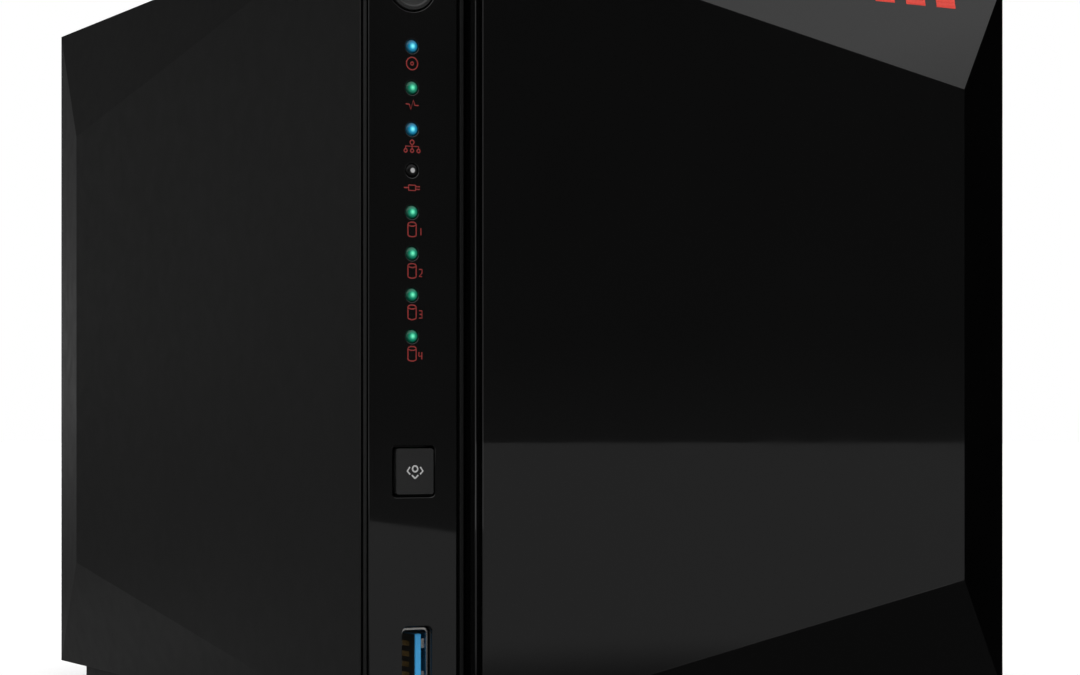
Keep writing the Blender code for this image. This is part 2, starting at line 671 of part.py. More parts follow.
def fan():
    x, z = FAN_CENTRE
    rear = REAR_PLATE[0] - GAP
    front = rear - FAN_DEPTH
    middle = (front + rear) / 2
    bm = bmesh.new()
    box_mesh(bm, around(x, FAN_SIZE), (front, rear), around(z, FAN_SIZE))
    upright = [e for e in bm.edges if abs((e.verts[0].co - e.verts[1].co).y) > 0.9 * FAN_DEPTH * MM]
    bmesh.ops.bevel(bm, geom=upright, offset=5 * MM, segments=3, affect="EDGES", profile=0.5)
    frame = finish("fan_frame", bm, DARK_PLASTIC)
    through = FAN_DEPTH + 4
    bore = rods("fan_bore", [(x, middle, z)], helper=True, radius=FAN_BORE, length=through, segments=56)
    offsets = (-FAN_SCREW_OFFSET, FAN_SCREW_OFFSET)
    corners = [(x + dx, middle, z + dz) for dx in offsets for dz in offsets]
    screw_holes = rods("fan_screw_holes", corners, helper=True, radius=2.2, length=through, segments=10)
    combine(frame, "DIFFERENCE", bore, screw_holes)
    arm = boxes("fan_arm_level", [(around(x, 118), (rear - 2.6, rear), around(z, 4))], helper=True)
    post = boxes("fan_arm_upright", [(around(x, 4), (rear - 2.6, rear), around(z, 118))], helper=True)
    motor = rods(
        "fan_motor", [(x, rear - 1.3, z)], helper=True, radius=FAN_HUB_RADIUS, length=2.6, segments=28
    )
    combine(frame, "UNION", arm, post, motor)


def fan_blade(bm, angle):
    """One twisted blade: a loft of four sections, from inside the hub out to the tip."""
    x, z = FAN_CENTRE
    root = FAN_HUB_RADIUS - 3.0
    tip = FAN_BORE - 1.6
    outline = ((-0.5, -0.5), (0, -0.5), (0.5, -0.5), (0.5, 0.5), (0, 0.5), (-0.5, 0.5))
    rings = []
    for step in range(4):
        radius = root + step * (tip - root) / 3
        pitch = math.radians(48 - 8 * step)
        chord = 22.0 + 3.2 * step
        ring = []
        for along, thick in outline:
            sweep = angle + (along * chord * math.cos(pitch) + 4.0 * step) / radius
            camber = 1.4 * (along == 0)
            depth = FAN_MIDDLE + along * chord * math.sin(pitch) * 0.62 + thick * 1.6 + camber
            point = Vector((x + radius * math.cos(sweep), depth, z + radius * math.sin(sweep)))
            ring.append(bm.verts.new(point * MM))
        rings.append(ring)
    bm.faces.new(rings[0])
    bm.faces.new(rings[-1][::-1])
    for inner, outer in zip(rings, rings[1:]):
        for i in range(6):
            bm.faces.new((inner[i], outer[i], outer[(i + 1) % 6], inner[(i + 1) % 6]))


def fan_rotor():
    x, z = FAN_CENTRE
    bm = bmesh.new()
    rod_mesh(bm, (x, FAN_MIDDLE, z), FAN_HUB_RADIUS, 18.0, segments=32)
    rotor = finish("fan_rotor", bm, DARK_PLASTIC, (x, FAN_MIDDLE, z))
    soften(rotor, 1.2)
    bm = bmesh.new()
    for blade in range(FAN_BLADES):
        fan_blade(bm, math.tau * blade / FAN_BLADES)
    combine(rotor, "UNION", finish("fan_blades", bm, None, helper=True))


# ---- assembly ----

side_panel("left_side_panel", -1, SHELL_FRONT)
side_panel("right_side_panel", 1, RIGHT_PANEL_FRONT)
top_cover()
base()
front_cover()
status_strip()
front_bezel()
status_board()
power_button()
copy_button()
front_usb()
cage()
backplane()
rear_panel()
ports()
mainboard()
fan()
fan_rotor()
for bay, middle_x in enumerate(BAY_CENTRES, 1):
    bay_tray = tray(bay, middle_x)
    bay_lever, bay_pin = lever(bay, middle_x)
    attach(bay_tray, drive(bay, middle_x), bay_lever, bay_pin)
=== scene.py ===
"""The looks of a four-bay desktop network storage enclosure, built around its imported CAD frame.

The front faces -Y and +Z is up. Lengths are named in millimetres and turned into metres as each
mesh is made.
"""

import math

import bmesh
import bpy
from mathutils import Matrix, Vector

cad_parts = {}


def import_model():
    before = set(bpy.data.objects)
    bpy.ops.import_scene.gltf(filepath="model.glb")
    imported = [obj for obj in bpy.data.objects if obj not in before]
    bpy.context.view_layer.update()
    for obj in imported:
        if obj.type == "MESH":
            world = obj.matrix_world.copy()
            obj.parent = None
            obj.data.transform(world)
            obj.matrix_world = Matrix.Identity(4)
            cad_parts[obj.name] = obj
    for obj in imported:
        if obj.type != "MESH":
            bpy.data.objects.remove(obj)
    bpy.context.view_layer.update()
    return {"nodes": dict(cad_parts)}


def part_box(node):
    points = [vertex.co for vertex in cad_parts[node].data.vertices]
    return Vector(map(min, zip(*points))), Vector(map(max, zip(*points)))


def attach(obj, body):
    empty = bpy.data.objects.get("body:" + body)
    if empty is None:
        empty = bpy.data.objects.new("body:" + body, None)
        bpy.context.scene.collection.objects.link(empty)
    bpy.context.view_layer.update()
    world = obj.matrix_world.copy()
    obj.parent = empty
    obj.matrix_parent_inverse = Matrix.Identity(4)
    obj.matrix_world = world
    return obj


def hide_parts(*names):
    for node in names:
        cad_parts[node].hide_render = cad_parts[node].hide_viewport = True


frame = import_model()

MM = 0.001
CHASSIS = "chassis"
COVER = "front_cover"
BAYS = (1, 2, 3, 4)


def span_of(node):
    """A CAD node's limits on each axis, in millimetres: ((x, x), (y, y), (z, z))."""
    low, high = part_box(node)
    return tuple((low[axis] / MM, high[axis] / MM) for axis in range(3))


def middle_of(node):
    return tuple(sum(limits) / 2 for limits in span_of(node))


# ---- outer form, as in the CAD ----
HALF_WIDTH = 84.0
HEIGHT = 175.0
SHELL_FRONT = -99.0
SHELL_REAR = 101.0
SHELL_BOTTOM = 7.0
RIGHT_PANEL_FRONT = -95.9
PANEL_WALL = 1.6
PANEL_REAR_HALF_WIDTH = 77.5
PANEL_CHAMFER_FRONT = 71.0
PANEL_VERTEX_Z = (34.7, 145.0)
COVER_X, COVER_Y, COVER_Z = span_of("front_cover")
COVER_VERTEX_X = 67.1
COVER_VERTEX_Z = (34.7, 147.7)
COVER_FACET_DEPTH = 5.4
STRIP_X, STRIP_Y, STRIP_Z = span_of("status_strip")
STRIP_FACE = STRIP_Y[0]
LEVER_PIVOT = (-94.5, 35.0)  # Y and Z of the pin that each latch lever turns on
PIN_BORE = 1.35  # radius of the holes for that pin
INLET = (-65.6, 52.0)  # X and Z of the power inlet
PORT_X = -67.6  # the column of the network socket, the lock slot and the reset hole
LOCK_SLOT_Z = 148.0
RESET_HOLE_Z = 137.0
THUMB_SCREW = (69.0, 164.0)  # distance from the middle, and Z

# ---- status lights, from the top: what each one shows ----
LIGHT_X = -72.1
LIGHT_TOP = 149.0
LIGHT_PITCH = 8.6
LIGHT_RADIUS = 1.35
LIGHTS = ("blue", "green", "blue", "off", "green", "green", "green", "green")
LIGHT_PLACES = [(LIGHT_X, 0.0, LIGHT_TOP - i * LIGHT_PITCH) for i in range(len(LIGHTS))]
SYMBOL_DROP = 3.6  # how far each printed symbol sits below its light
SYMBOL_STROKE = 0.26
CREASE_SHARE = 0.15  # the radius of a crease between facets, as a share of a full edge's
SHORT_SHARE = 0.25  # the same for the short edges that small rims are made of
SHORT_EDGE = 1.3

# ---- colours, linear ----
INK_RED = (0.2, 0.014, 0.012)
MARK_RED = (0.62, 0.045, 0.03)
INK_WHITE = (0.36, 0.36, 0.36)
WHITE = (1.0, 1.0, 1.0, 1.0)
BLACK = (0.0, 0.0, 0.0, 1.0)

MOST_OF_NOISE = (0.3, 0.7)  # where most values of a noise lie


# ---- node helpers ----


def add(tree, kind, inputs=(), give=0, **settings):
    """Adds a shader node and returns its first output, or the one that give names.

    An input is a value, or the socket that it is linked to.
    """
    made = tree.nodes.new("ShaderNode" + kind)
    for name, value in settings.items():
        setattr(made, name, value)
    for key, value in dict(inputs).items():
        if isinstance(value, bpy.types.NodeSocket):
            tree.links.new(value, made.inputs[key])
        else:
            made.inputs[key].default_value = value
    return made.outputs[give] if made.outputs else None


def principled(name, **values):
    """A material and its tree, with values set on the shader's own sockets."""
    made = bpy.data.materials.new(name)
    made.use_nodes = True
    for key, value in values.items():
        made.node_tree.nodes["Principled BSDF"].inputs[key.replace("_", " ")].default_value = value
    return made, made.node_tree


def wire(tree, **sources):
    """Links each source to the shader's socket of that name."""
    for key, source in sources.items():
        tree.links.new(source, tree.nodes["Principled BSDF"].inputs[key.replace("_", " ")])


def object_space(tree):
    return add(tree, "TexCoord", give="Object")


def vector_math(tree, operation, first, second=(0.0, 0.0, 0.0), give=0):
    return add(tree, "VectorMath", {0: first, 1: second}, give, operation=operation)


def noise(tree, size, detail=2.0, stretch=(1.0, 1.0, 1.0)):
    """A noise whose features measure size millimetres, in the piece's own coordinates."""
    place = add(tree, "Mapping", {"Vector": object_space(tree), "Scale": stretch})
    return add(tree, "TexNoise", {"Vector": place, "Scale": 1 / (size * MM), "Detail": detail})


def mapped(tree, value, source, target=(0.0, 1.0), **settings):
    """Maps a number from the range source onto the range target."""
    inputs = {0: value, 1: source[0], 2: source[1], 3: target[0], 4: target[1]}
    return add(tree, "MapRange", inputs, **settings)


def ramp(tree, source, stops):
    """Colours between stops of (position, linear colour)."""
    blended = add(tree, "ValToRGB", {"Fac": source})
    colours = blended.node.color_ramp.elements
    while len(colours) < len(stops):
        colours.new(1.0)
    for element, (position, colour) in zip(colours, stops):
        element.position = position
        element.color = (*colour, 1.0)
    return blended


def grey_ramp(tree, source, stops):
    """Numbers between stops of (position, number)."""
    blended = add(tree, "FloatCurve", {"Value": source})
    curve = blended.node.mapping
    points = curve.curves[0].points
    curve.clip_max_y = 2.0
    while len(points) < len(stops):
        points.new(0.5, 0.5)
    for point, stop in zip(points, stops):
        point.location = stop
        point.handle_type = "VECTOR"
    curve.update()
    return blended


def tinted(colour, factor):
    return tuple(min(1.0, channel * factor) for channel in colour)


def shades(colour, share):
    """The colour, darker and lighter by that share."""
    return tinted(colour, 1 - share), tinted(colour, 1 + share)


def roughen(tree, height, depth, base=None):
    """Adds a bump of that depth in millimetres, on top of another normal if one is given."""
    inputs = {"Height": height, "Distance": depth * MM, "Strength": 1.0}
    if base is not None:
        inputs["Normal"] = base
    wire(tree, Normal=add(tree, "Bump", inputs))


def surface(name, colours, tone, sheen=None, bump=None, start=0.3, **values):
    """A material whose colour, roughness and relief each follow a noise.

    A noise is given as (size, detail, stretch), the way noise() takes them. sheen is a noise with
    the lowest and highest roughness, and bump a noise with its depth in millimetres.
    """
    made, tree = principled(name, **values)
    stops = ((start, colours[0]), (1 - start, colours[1]))
    wire(tree, Base_Color=ramp(tree, noise(tree, *tone), stops))
    if sheen:
        wire(tree, Roughness=mapped(tree, noise(tree, *sheen[0]), MOST_OF_NOISE, sheen[1:]))
    if bump:
        roughen(tree, noise(tree, *bump[0]), bump[1])
    return made


# ---- materials ----


def plastic(name, colour, roughness, grain=0.35, depth=0.012, specular=0.5, mottle=0.08):
    """Moulded plastic: a spark-eroded grain, with slightly uneven colour and sheen."""
    sheen = ((5, 5.0), roughness - 0.025, roughness + 0.025)
    bump = ((grain, 3.0), depth)
    return surface(name, shades(colour, mottle), (38, 3.0), sheen, bump, Specular_IOR_Level=specular)


def piano_black(name, colour, lean=0.0, twist=0.0):
    """Polished plastic, with the faint ripple of an injection moulding.

    lean tips it back a little, and twist tips it back more for each metre to the right.
    """
    polish = ((14, 5.0), 0.012, 0.03)
    made = surface(name, shades(colour, 0.1), (30,), polish, start=0.35, Specular_IOR_Level=0.5)
    tree = made.node_tree
    base = None
    if lean:
        across = add(tree, "SeparateXYZ", {0: object_space(tree)}, "X")
        tilt = {0: across, 1: twist, 2: lean - twist * LIGHT_X * MM}
        back = add(tree, "CombineXYZ", {"Z": add(tree, "Math", tilt, operation="MULTIPLY_ADD")})
        tipped = vector_math(tree, "ADD", add(tree, "NewGeometry", give="Normal"), back)
        base = vector_math(tree, "NORMALIZE", tipped)
    roughen(tree, noise(tree, 22), 0.002, base)
    return made


def metal(name, colour, roughness, stretch=(1.0, 1.0, 1.0), grain=0.5, depth=0.004):
    """Bare metal. stretch draws its grain out along an axis, as brushing does."""
    grained = (grain, 4.0, stretch)
    sheen = (grained, roughness - 0.07, roughness + 0.07)
    return surface(name, shades(colour, 0.12), (17, 4.0), sheen, (grained, depth), Metallic=1.0)


def galvanised(name):
    """Zinc-coated sheet, with its spangle of flat crystals."""
    made, tree = principled(name, Metallic=1.0)
    crystals = {"Vector": object_space(tree), "Scale": 1 / (5 * MM)}
    tone = add(tree, "RGBToBW", {"Color": add(tree, "TexVoronoi", crystals, "Color")})
    colour = ramp(tree, tone, ((0.2, (0.42, 0.43, 0.45)), (0.8, (0.62, 0.63, 0.65))))
    wire(tree, Base_Color=colour, Roughness=mapped(tree, tone, MOST_OF_NOISE, (0.28, 0.45)))
    roughen(tree, noise(tree, 0.8, 3.0), 0.004)
    return made


def circuit_board(name, across):
    """Solder mask over copper. across gives the axes that lie in the board, such as YZ."""
    made, tree = principled(name, Specular_IOR_Level=0.5, Roughness=0.32)
    place = {"Vector": object_space(tree)}
    flat = {key: add(tree, "SeparateXYZ", place, axis) for key, axis in zip("XY", across)}
    bricks = {
        "Vector": add(tree, "CombineXYZ", flat),
        "Color1": (0.004, 0.055, 0.022, 1.0),
        "Color2": (0.006, 0.075, 0.03, 1.0),
        "Mortar": (0.012, 0.15, 0.06, 1.0),
        "Scale": 1 / (9 * MM),
        "Mortar Size": 0.02,
        "Brick Width": 0.37,
        "Row Height": 0.11,
    }
    tracks = add(tree, "TexBrick", bricks, "Color", offset=0.37)
    wire(tree, Base_Color=tracks)
    roughen(tree, tracks.node.outputs["Fac"], 0.02)
    return made


def printed(name, colour):
    """Screen-printed ink, a touch uneven where it lies thin."""
    colours = (tinted(colour, 0.85), tinted(colour, 1.1))
    return surface(name, colours, (0.5, 2.0), ((0.3,), 0.38, 0.5), Specular_IOR_Level=0.4)


def across_lens(tree, stops):
    """Colours from the middle of a lens, at 0, to its edge, at 1. The lens has its origin there."""
    flat = vector_math(tree, "MULTIPLY", object_space(tree), (1.0, 0.0, 1.0))
    reach = vector_math(tree, "LENGTH", flat, give="Value")
    return ramp(tree, mapped(tree, reach, (0.0, LIGHT_RADIUS * MM)), stops)


def lit_lens(name, core, rim, strength):
    base = (*tinted(rim, 0.1), 1.0)
    made, tree = principled(name, Roughness=0.18, Base_Color=base, Emission_Strength=strength)
    stops = ((0.0, core), (0.5, tinted(rim, 1.3)), (0.9, tinted(rim, 0.12)))
    wire(tree, Emission_Color=across_lens(tree, stops))
    return made


def unlit_lens(name, core, rim):
    made, tree = principled(name, Roughness=0.3, Specular_IOR_Level=0.2)
    wire(tree, Base_Color=across_lens(tree, ((0.3, core), (0.45, rim), (1.0, rim))))
    return made


def milky(name, colour):
    """Unlit light-guide plastic."""
    depth = {"Subsurface_Weight": 0.3, "Subsurface_Radius": (MM, MM, MM)}
    return surface(name, (tinted(colour, 0.9), colour), (2,), Roughness=0.25, **depth)


SIDE_BLACK = plastic("side_black", (0.0042, 0.0042, 0.0041), 0.44, grain=0.4, depth=0.01, specular=0.42)
COVER_BLACK = piano_black("cover_black", (0.0009, 0.0009, 0.0009))
STRIP_BLACK = piano_black("strip_black", (0.0016, 0.0016, 0.0016), lean=0.0177, twist=0.14)
BUTTON_BLACK = plastic("button_black", (0.0095, 0.0095, 0.0095), 0.34, grain=0.25, depth=0.006)
BEZEL_BLACK = plastic("bezel_black", (0.0018, 0.0018, 0.0018), 0.3, grain=0.3, depth=0.006, specular=0.25)
DARK_PLASTIC = plastic("dark_plastic", (0.011, 0.011, 0.0115), 0.5, grain=0.3, depth=0.012)
TRAY_PLASTIC = plastic("tray_plastic", (0.026, 0.026, 0.027), 0.42, grain=0.3, depth=0.01)
PEEL = (0.7, 2.0)  # the orange-peel skin of baked powder paint
REAR_SHADES = shades((0.014, 0.014, 0.0145), 0.15)
PAINT = ((24, 3.0), (PEEL, 0.42, 0.56), (PEEL, 0.03))
REAR_BLACK = surface("rear_black", REAR_SHADES, *PAINT, Specular_IOR_Level=0.5)
STEEL = galvanised("steel")
NICKEL = metal("nickel", (0.66, 0.65, 0.63), 0.22, stretch=(1.0, 0.12, 1.0), grain=0.3)
SCREW_STEEL = metal("screw_steel", (0.5, 0.5, 0.51), 0.3, grain=0.25)
BLACK_SCREW = metal("black_screw", (0.05, 0.05, 0.052), 0.36, grain=0.3)
CAST_ALUMINIUM = metal("cast_aluminium", (0.5, 0.51, 0.52), 0.5, grain=0.6, depth=0.03)
LID_ALUMINIUM = metal("lid_aluminium", (0.72, 0.73, 0.74), 0.33, stretch=(1.0, 0.06, 1.0), grain=0.25)
FIN_ALUMINIUM = metal("fin_aluminium", (0.56, 0.57, 0.58), 0.42, stretch=(1.0, 0.08, 1.0), grain=0.3)
GOLD = metal("gold_contacts", (0.83, 0.6, 0.25), 0.22, grain=0.2)
BOARD_YZ = circuit_board("circuit_board_upright", "YZ")
BOARD_XZ = circuit_board("circuit_board_across", "XZ")
CHIP_BLACK = plastic("chip_black", (0.012, 0.012, 0.012), 0.4, grain=0.15, depth=0.005)
CERAMIC = plastic("ceramic_parts", (0.28, 0.17, 0.09), 0.4, grain=0.2, depth=0.003)
RUBBER_SHADES = ((0.009, 0.009, 0.0095), (0.016, 0.016, 0.0165))
WORN = ((1.5, 4.0), 0.72, 0.88)
RUBBER = surface("rubber", RUBBER_SHADES, (4, 3.0), WORN, ((0.25, 2.0), 0.02), Specular_IOR_Level=0.35)
# Blue for the port tongues, lighter than the real plastic: part of it is a painted highlight for the light
# their front edges catch.
USB_BLUE_WITH_PAINTED_HIGHLIGHT = plastic("usb_blue_with_painted_highlight", (0.045, 0.34, 0.68), 0.3, grain=0.2, depth=0.003, mottle=0.05)
RED_INK = printed("red_ink", INK_RED)
RED_MARK = printed("red_mark", MARK_RED)
WHITE_INK = printed("white_ink", INK_WHITE)
GREY_INK = printed("grey_ink", (0.09, 0.09, 0.09))
LENSES = {
    "blue": lit_lens("light_blue", (0.22, 0.95, 1.0), (0.0, 0.15, 0.27), 1.25),
    "green": lit_lens("light_green", (0.17, 0.95, 0.55), (0.0, 0.15, 0.085), 1.15),
    "off": unlit_lens("light_off", (0.36, 0.36, 0.36), (0.001, 0.001, 0.001)),
}
AMBER = milky("lamp_amber", (0.3, 0.16, 0.02))
LIGHT_GUIDE = milky("light_guide_clear", (0.7, 0.74, 0.76))


# ---- mesh helpers ----


def box_mesh(bm, x, y, z):
    """Adds an upright box between two limits on each axis."""
    size = [(high - low) * MM for low, high in (x, y, z)]
    middle = Vector([sum(limits) / 2 * MM for limits in (x, y, z)])
    place = Matrix.Translation(middle) @ Matrix.Diagonal((*size, 1.0))
    bmesh.ops.create_cube(bm, size=1.0, matrix=place)


def turned(name, profile, centres, axis="Y", segments=48, origin=(0.0, 0.0, 0.0)):
    """A solid turned from a profile of (radius, distance along the axis), about each centre."""
    bm = bmesh.new()
    for centre in centres:
        loops = []
        for radius, along in profile:
            loops.append([])
            for i in range(segments if radius > 0 else 1):
                turn = math.tau * i / segments
                point = [radius * math.cos(turn), radius * math.sin(turn)]
                point.insert("XYZ".index(axis), along)
                loops[-1].append(bm.verts.new((Vector(point) + Vector(centre)) * MM))
        for loop, following in zip(loops, loops[1:]):
            for i in range(segments):
                j = (i + 1) % segments
                corners = [loop[i % len(loop)], loop[j % len(loop)]]
                corners += [following[j % len(following)], following[i % len(following)]]
                bm.faces.new(list(dict.fromkeys(corners)))
    return solid(name, bm, origin)


def loft(bm, sections):
    """Joins sections of points, in millimetres, by a skin with closed ends."""
    loops = [[bm.verts.new(Vector(point) * MM) for point in points] for points in sections]
    for loop, following in zip(loops, loops[1:]):
        for i in range(len(loop)):
            j = (i + 1) % len(loop)
            bm.faces.new((loop[i], following[i], following[j], loop[j]))
    bm.faces.new(loops[0])
    bm.faces.new(loops[-1][::-1])


def cut_flat(bm, corners, keep):
    """Slices away what lies beyond the plane through three corners, seen from keep."""
    a, b, c = (Vector(corner) * MM for corner in corners)
    normal = (b - a).cross(c - a).normalized()
    if normal.dot(Vector(keep) * MM - a) > 0:
        normal = -normal
    everything = bm.verts[:] + bm.edges[:] + bm.faces[:]
    cut = bmesh.ops.bisect_plane(bm, geom=everything, plane_co=a, plane_no=normal, clear_outer=True)
    rim = [found for found in cut["geom_cut"] if isinstance(found, bmesh.types.BMEdge)]
    bmesh.ops.edgeloop_fill(bm, edges=rim)


def around(middle, size):
    return middle - size / 2, middle + size / 2


def cross(x, y, z, long, wide):
    """The two arms of a cross about (x, z), as boxes through those limits on Y."""
    return [(around(x, long), y, around(z, wide)), (around(x, wide), y, around(z, long))]


def ring(x, z, radius, count=28, start=0.0):
    """A closed outline: a circle, or a polygon with few corners."""
    turns = [start + math.tau * i / count for i in range(count)]
    return [(x + radius * math.cos(t), z + radius * math.sin(t)) for t in turns], True


def rounded_outline(x, z, radius, steps=6):
    """The outline of a rectangle with round corners, anticlockwise."""
    points = []
    for quarter, (sx, sz) in enumerate(((1, 1), (-1, 1), (-1, -1), (1, -1))):
        centre_x = sum(x) / 2 + sx * ((x[1] - x[0]) / 2 - radius)
        centre_z = sum(z) / 2 + sz * ((z[1] - z[0]) / 2 - radius)
        for step in range(steps + 1):
            turn = (quarter + step / steps) * math.pi / 2
            points.append((centre_x + radius * math.cos(turn), centre_z + radius * math.sin(turn)))
    return points


def placed(name, data):
    """A new object in the scene."""
    made = bpy.data.objects.new(name, data)
    bpy.context.scene.collection.objects.link(made)
    return made


def shaped_mesh(target):
    """A new mesh of the object as its modifiers or its curve's settings shape it."""
    bpy.context.view_layer.update()
    graph = bpy.context.evaluated_depsgraph_get()
    return bpy.data.meshes.new_from_object(target.evaluated_get(graph))


def drawn(name, strokes, **settings):
    """The mesh that a curve with those settings makes of strokes of (points, closed)."""
    curve = bpy.data.curves.new(name, "CURVE")
    for key, value in settings.items():
        setattr(curve, key, value)
    for points, closed in strokes:
        spline = curve.splines.new("POLY")
        spline.points.add(len(points) - 1)
        for end, (across, up) in zip(spline.points, points):
            end.co = (across * MM, up * MM, 0.0, 1.0)
        spline.use_cyclic_u = closed
    holder = placed(name + "_strokes", curve)
    mesh = shaped_mesh(holder)
    bpy.data.objects.remove(holder)
    return mesh


def punched_plate(name, outline, holes, y, edge, resolution=1):
    """A flat plate across Y, with edges of that radius round its outline and its holes."""
    flat = drawn(
        name,
        [(points, True) for points in (outline, *(hole[::-1] for hole in holes))],
        dimensions="2D",
        fill_mode="BOTH",
        extrude=((y[1] - y[0]) / 2 - edge) * MM,
        bevel_depth=edge * MM,
        bevel_resolution=resolution,
        offset=-edge * MM,
    )
    bm = bmesh.new()
    bm.from_mesh(flat)
    bmesh.ops.remove_doubles(bm, verts=bm.verts, dist=0.001 * MM)
    bmesh.ops.transform(bm, matrix=on_face((0.0, sum(y) / 2, 0.0)), verts=bm.verts)
    return solid(name, bm)


def solid(name, bm, origin=(0.0, 0.0, 0.0)):
    """Turns a bmesh into an object whose origin is at a point in millimetres."""
    bmesh.ops.recalc_face_normals(bm, faces=bm.faces)
    bmesh.ops.translate(bm, verts=bm.verts, vec=-Vector(origin) * MM)
    mesh = bpy.data.meshes.new(name)
    bm.to_mesh(mesh)
    bm.free()
    made = placed(name, mesh)
    made.location = Vector(origin) * MM
    return made


def boxes(name, spans):
    bm = bmesh.new()
    for x, y, z in spans:
        box_mesh(bm, x, y, z)
    return solid(name, bm)


def rods(name, places, radius, length, axis="Y", segments=32):
    """Cylinders about a row axis, each with its middle at one of the places."""
    turn = {"X": Matrix.Rotation(math.pi / 2, 4, "Y"), "Y": Matrix.Rotation(math.pi / 2, 4, "X")}
    bm = bmesh.new()
    for centre in places:
        bmesh.ops.create_cone(
            bm,
            cap_ends=True,
            segments=segments,
            radius1=radius * MM,
            radius2=radius * MM,
            depth=length * MM,
            matrix=Matrix.Translation(Vector(centre) * MM) @ turn.get(axis, Matrix.Identity(4)),
        )
    return solid(name, bm)


def slots(name, places, width, length, depth):
    """Upright round-ended holes through y, each about (x, y, z)."""
    reach = (length - width) / 2
    ends = [(x, y, z + end * reach) for x, y, z in places for end in (-1, 1)]
    middles = [(around(x, width), around(y, depth), around(z, 2 * reach)) for x, y, z in places]
    return rods(name, ends, width / 2, depth, segments=20), boxes(name + "_middle", middles)


def rounded_block(name, x, y, z, radius, segments=5):
    """A block whose four edges along Y are rounded."""
    bm = bmesh.new()
    box_mesh(bm, x, y, z)
    long = (y[1] - y[0]) * MM
    along = [e for e in bm.edges if abs((e.verts[0].co - e.verts[1].co).y) > 0.9 * long]
    bmesh.ops.bevel(bm, geom=along, offset=radius * MM, segments=segments, affect="EDGES", profile=0.5)
    return solid(name, bm)


def carve(target, operation, *tools):
    """Cuts the tools from the target, or joins them to it, and removes them."""
    for tool in tools:
        step = target.modifiers.new("step", "BOOLEAN")
        step.operation = operation
        step.solver = "EXACT"
        step.object = tool
    carved = shaped_mesh(target)
    target.modifiers.clear()
    target.data = carved
    for tool in tools:
        bpy.data.objects.remove(tool)


def round_edges(target, width, segments=3):
    """Rounds the edges sharper than 30 degrees. Small rims and facet creases are rounded more finely."""
    bm = bmesh.new()
    bm.from_mesh(target.data)
    bmesh.ops.remove_doubles(bm, verts=bm.verts, dist=0.05 * MM)
    weight = bm.edges.layers.float.new("bevel_weight_edge")
    for edge in bm.edges:
        turn = math.degrees(edge.calc_face_angle(0.0))
        if turn > 30:
            edge[weight] = 1.0 if edge.calc_length() > SHORT_EDGE * MM else SHORT_SHARE
        elif turn > 5 and edge.calc_length() > SHORT_EDGE * MM:
            edge[weight] = CREASE_SHARE
        elif turn > 5:
            edge.smooth = False
    bm.to_mesh(target.data)
    bm.free()
    rounded = target.modifiers.new("rounded_edges", "BEVEL")
    rounded.width = width * MM
    rounded.segments = segments
    rounded.limit_method = "WEIGHT"
    rounded.harden_normals = True


def dress(made, look, body=CHASSIS, stands_for=None, edge=0.0, segments=3):
    """Gives a piece its material and edges, sets what it rides on, and hides the CAD node it takes the place
    of.
    """
    made.data.materials.clear()
    made.data.materials.append(look)
    made.data.shade_smooth()
    if edge:
        round_edges(made, edge, segments)
    else:
        made.data.set_sharp_from_angle(angle=math.radians(35))
    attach(made, body)
    if stands_for:
        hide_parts(stands_for)
    return made


def keep_faces_flat(plate):
    """Stops a punched plate's front and back from being shaded into its rounded edges."""
    bm = bmesh.new()
    bm.from_mesh(plate.data)
    for edge in bm.edges:
        facing = [abs(face.normal.y) > 0.999 for face in edge.link_faces]
        if any(facing) and not all(facing):
            edge.smooth = False
    bm.to_mesh(plate.data)
    bm.free()


def refine(node, look, edge, body=CHASSIS):
    """A copy of a CAD node's shape with rounded edges, in its place."""
    bm = bmesh.new()
    bm.from_mesh(frame["nodes"][node].data)
    bmesh.ops.remove_doubles(bm, verts=bm.verts, dist=0.01 * MM)
    return dress(solid(node + "_finished", bm), look, body, node, edge, 2)


# ---- thin printed symbols ----


def dot(x, z, radius, stroke):
    """A small disc, drawn as a ring whose stroke fills it."""
    return ring(x, z, max(radius - stroke / 2, 0.05), 12)


def line(*points):
    return list(points), False


def moved(strokes, x, z, scale=1.0):
    """The same strokes, scaled and moved."""
    return [([(x + scale * u, z + scale * v) for u, v in points], closed) for points, closed in strokes]


def on_face(point, outwards=(0.0, -1.0, 0.0)):
    """A placement that lays local XY on a face: X to the right, Y up, Z outwards."""
    out = Vector(outwards).normalized()
    up = (Vector((0, 0, 1)) - out * out.z).normalized()
    right = up.cross(out)
    turned = Matrix((right, up, out)).transposed().to_4x4()
    return Matrix.Translation(Vector(point) * MM) @ turned


def symbol(name, strokes, width, place, look, body=CHASSIS, height=0.02):
    """Strokes of (points, closed) as one flat raised print that stands height off its face."""
    round_wire = {"bevel_depth": width / 2 * MM, "bevel_resolution": 2, "use_fill_caps": True}
    mesh = drawn(name, strokes, dimensions="3D", **round_wire)
    mesh.transform(place @ Matrix.Diagonal((1.0, 1.0, height / (width / 2), 1.0)))
    dress(placed(name, mesh), look, body)


# ---- outer shell ----


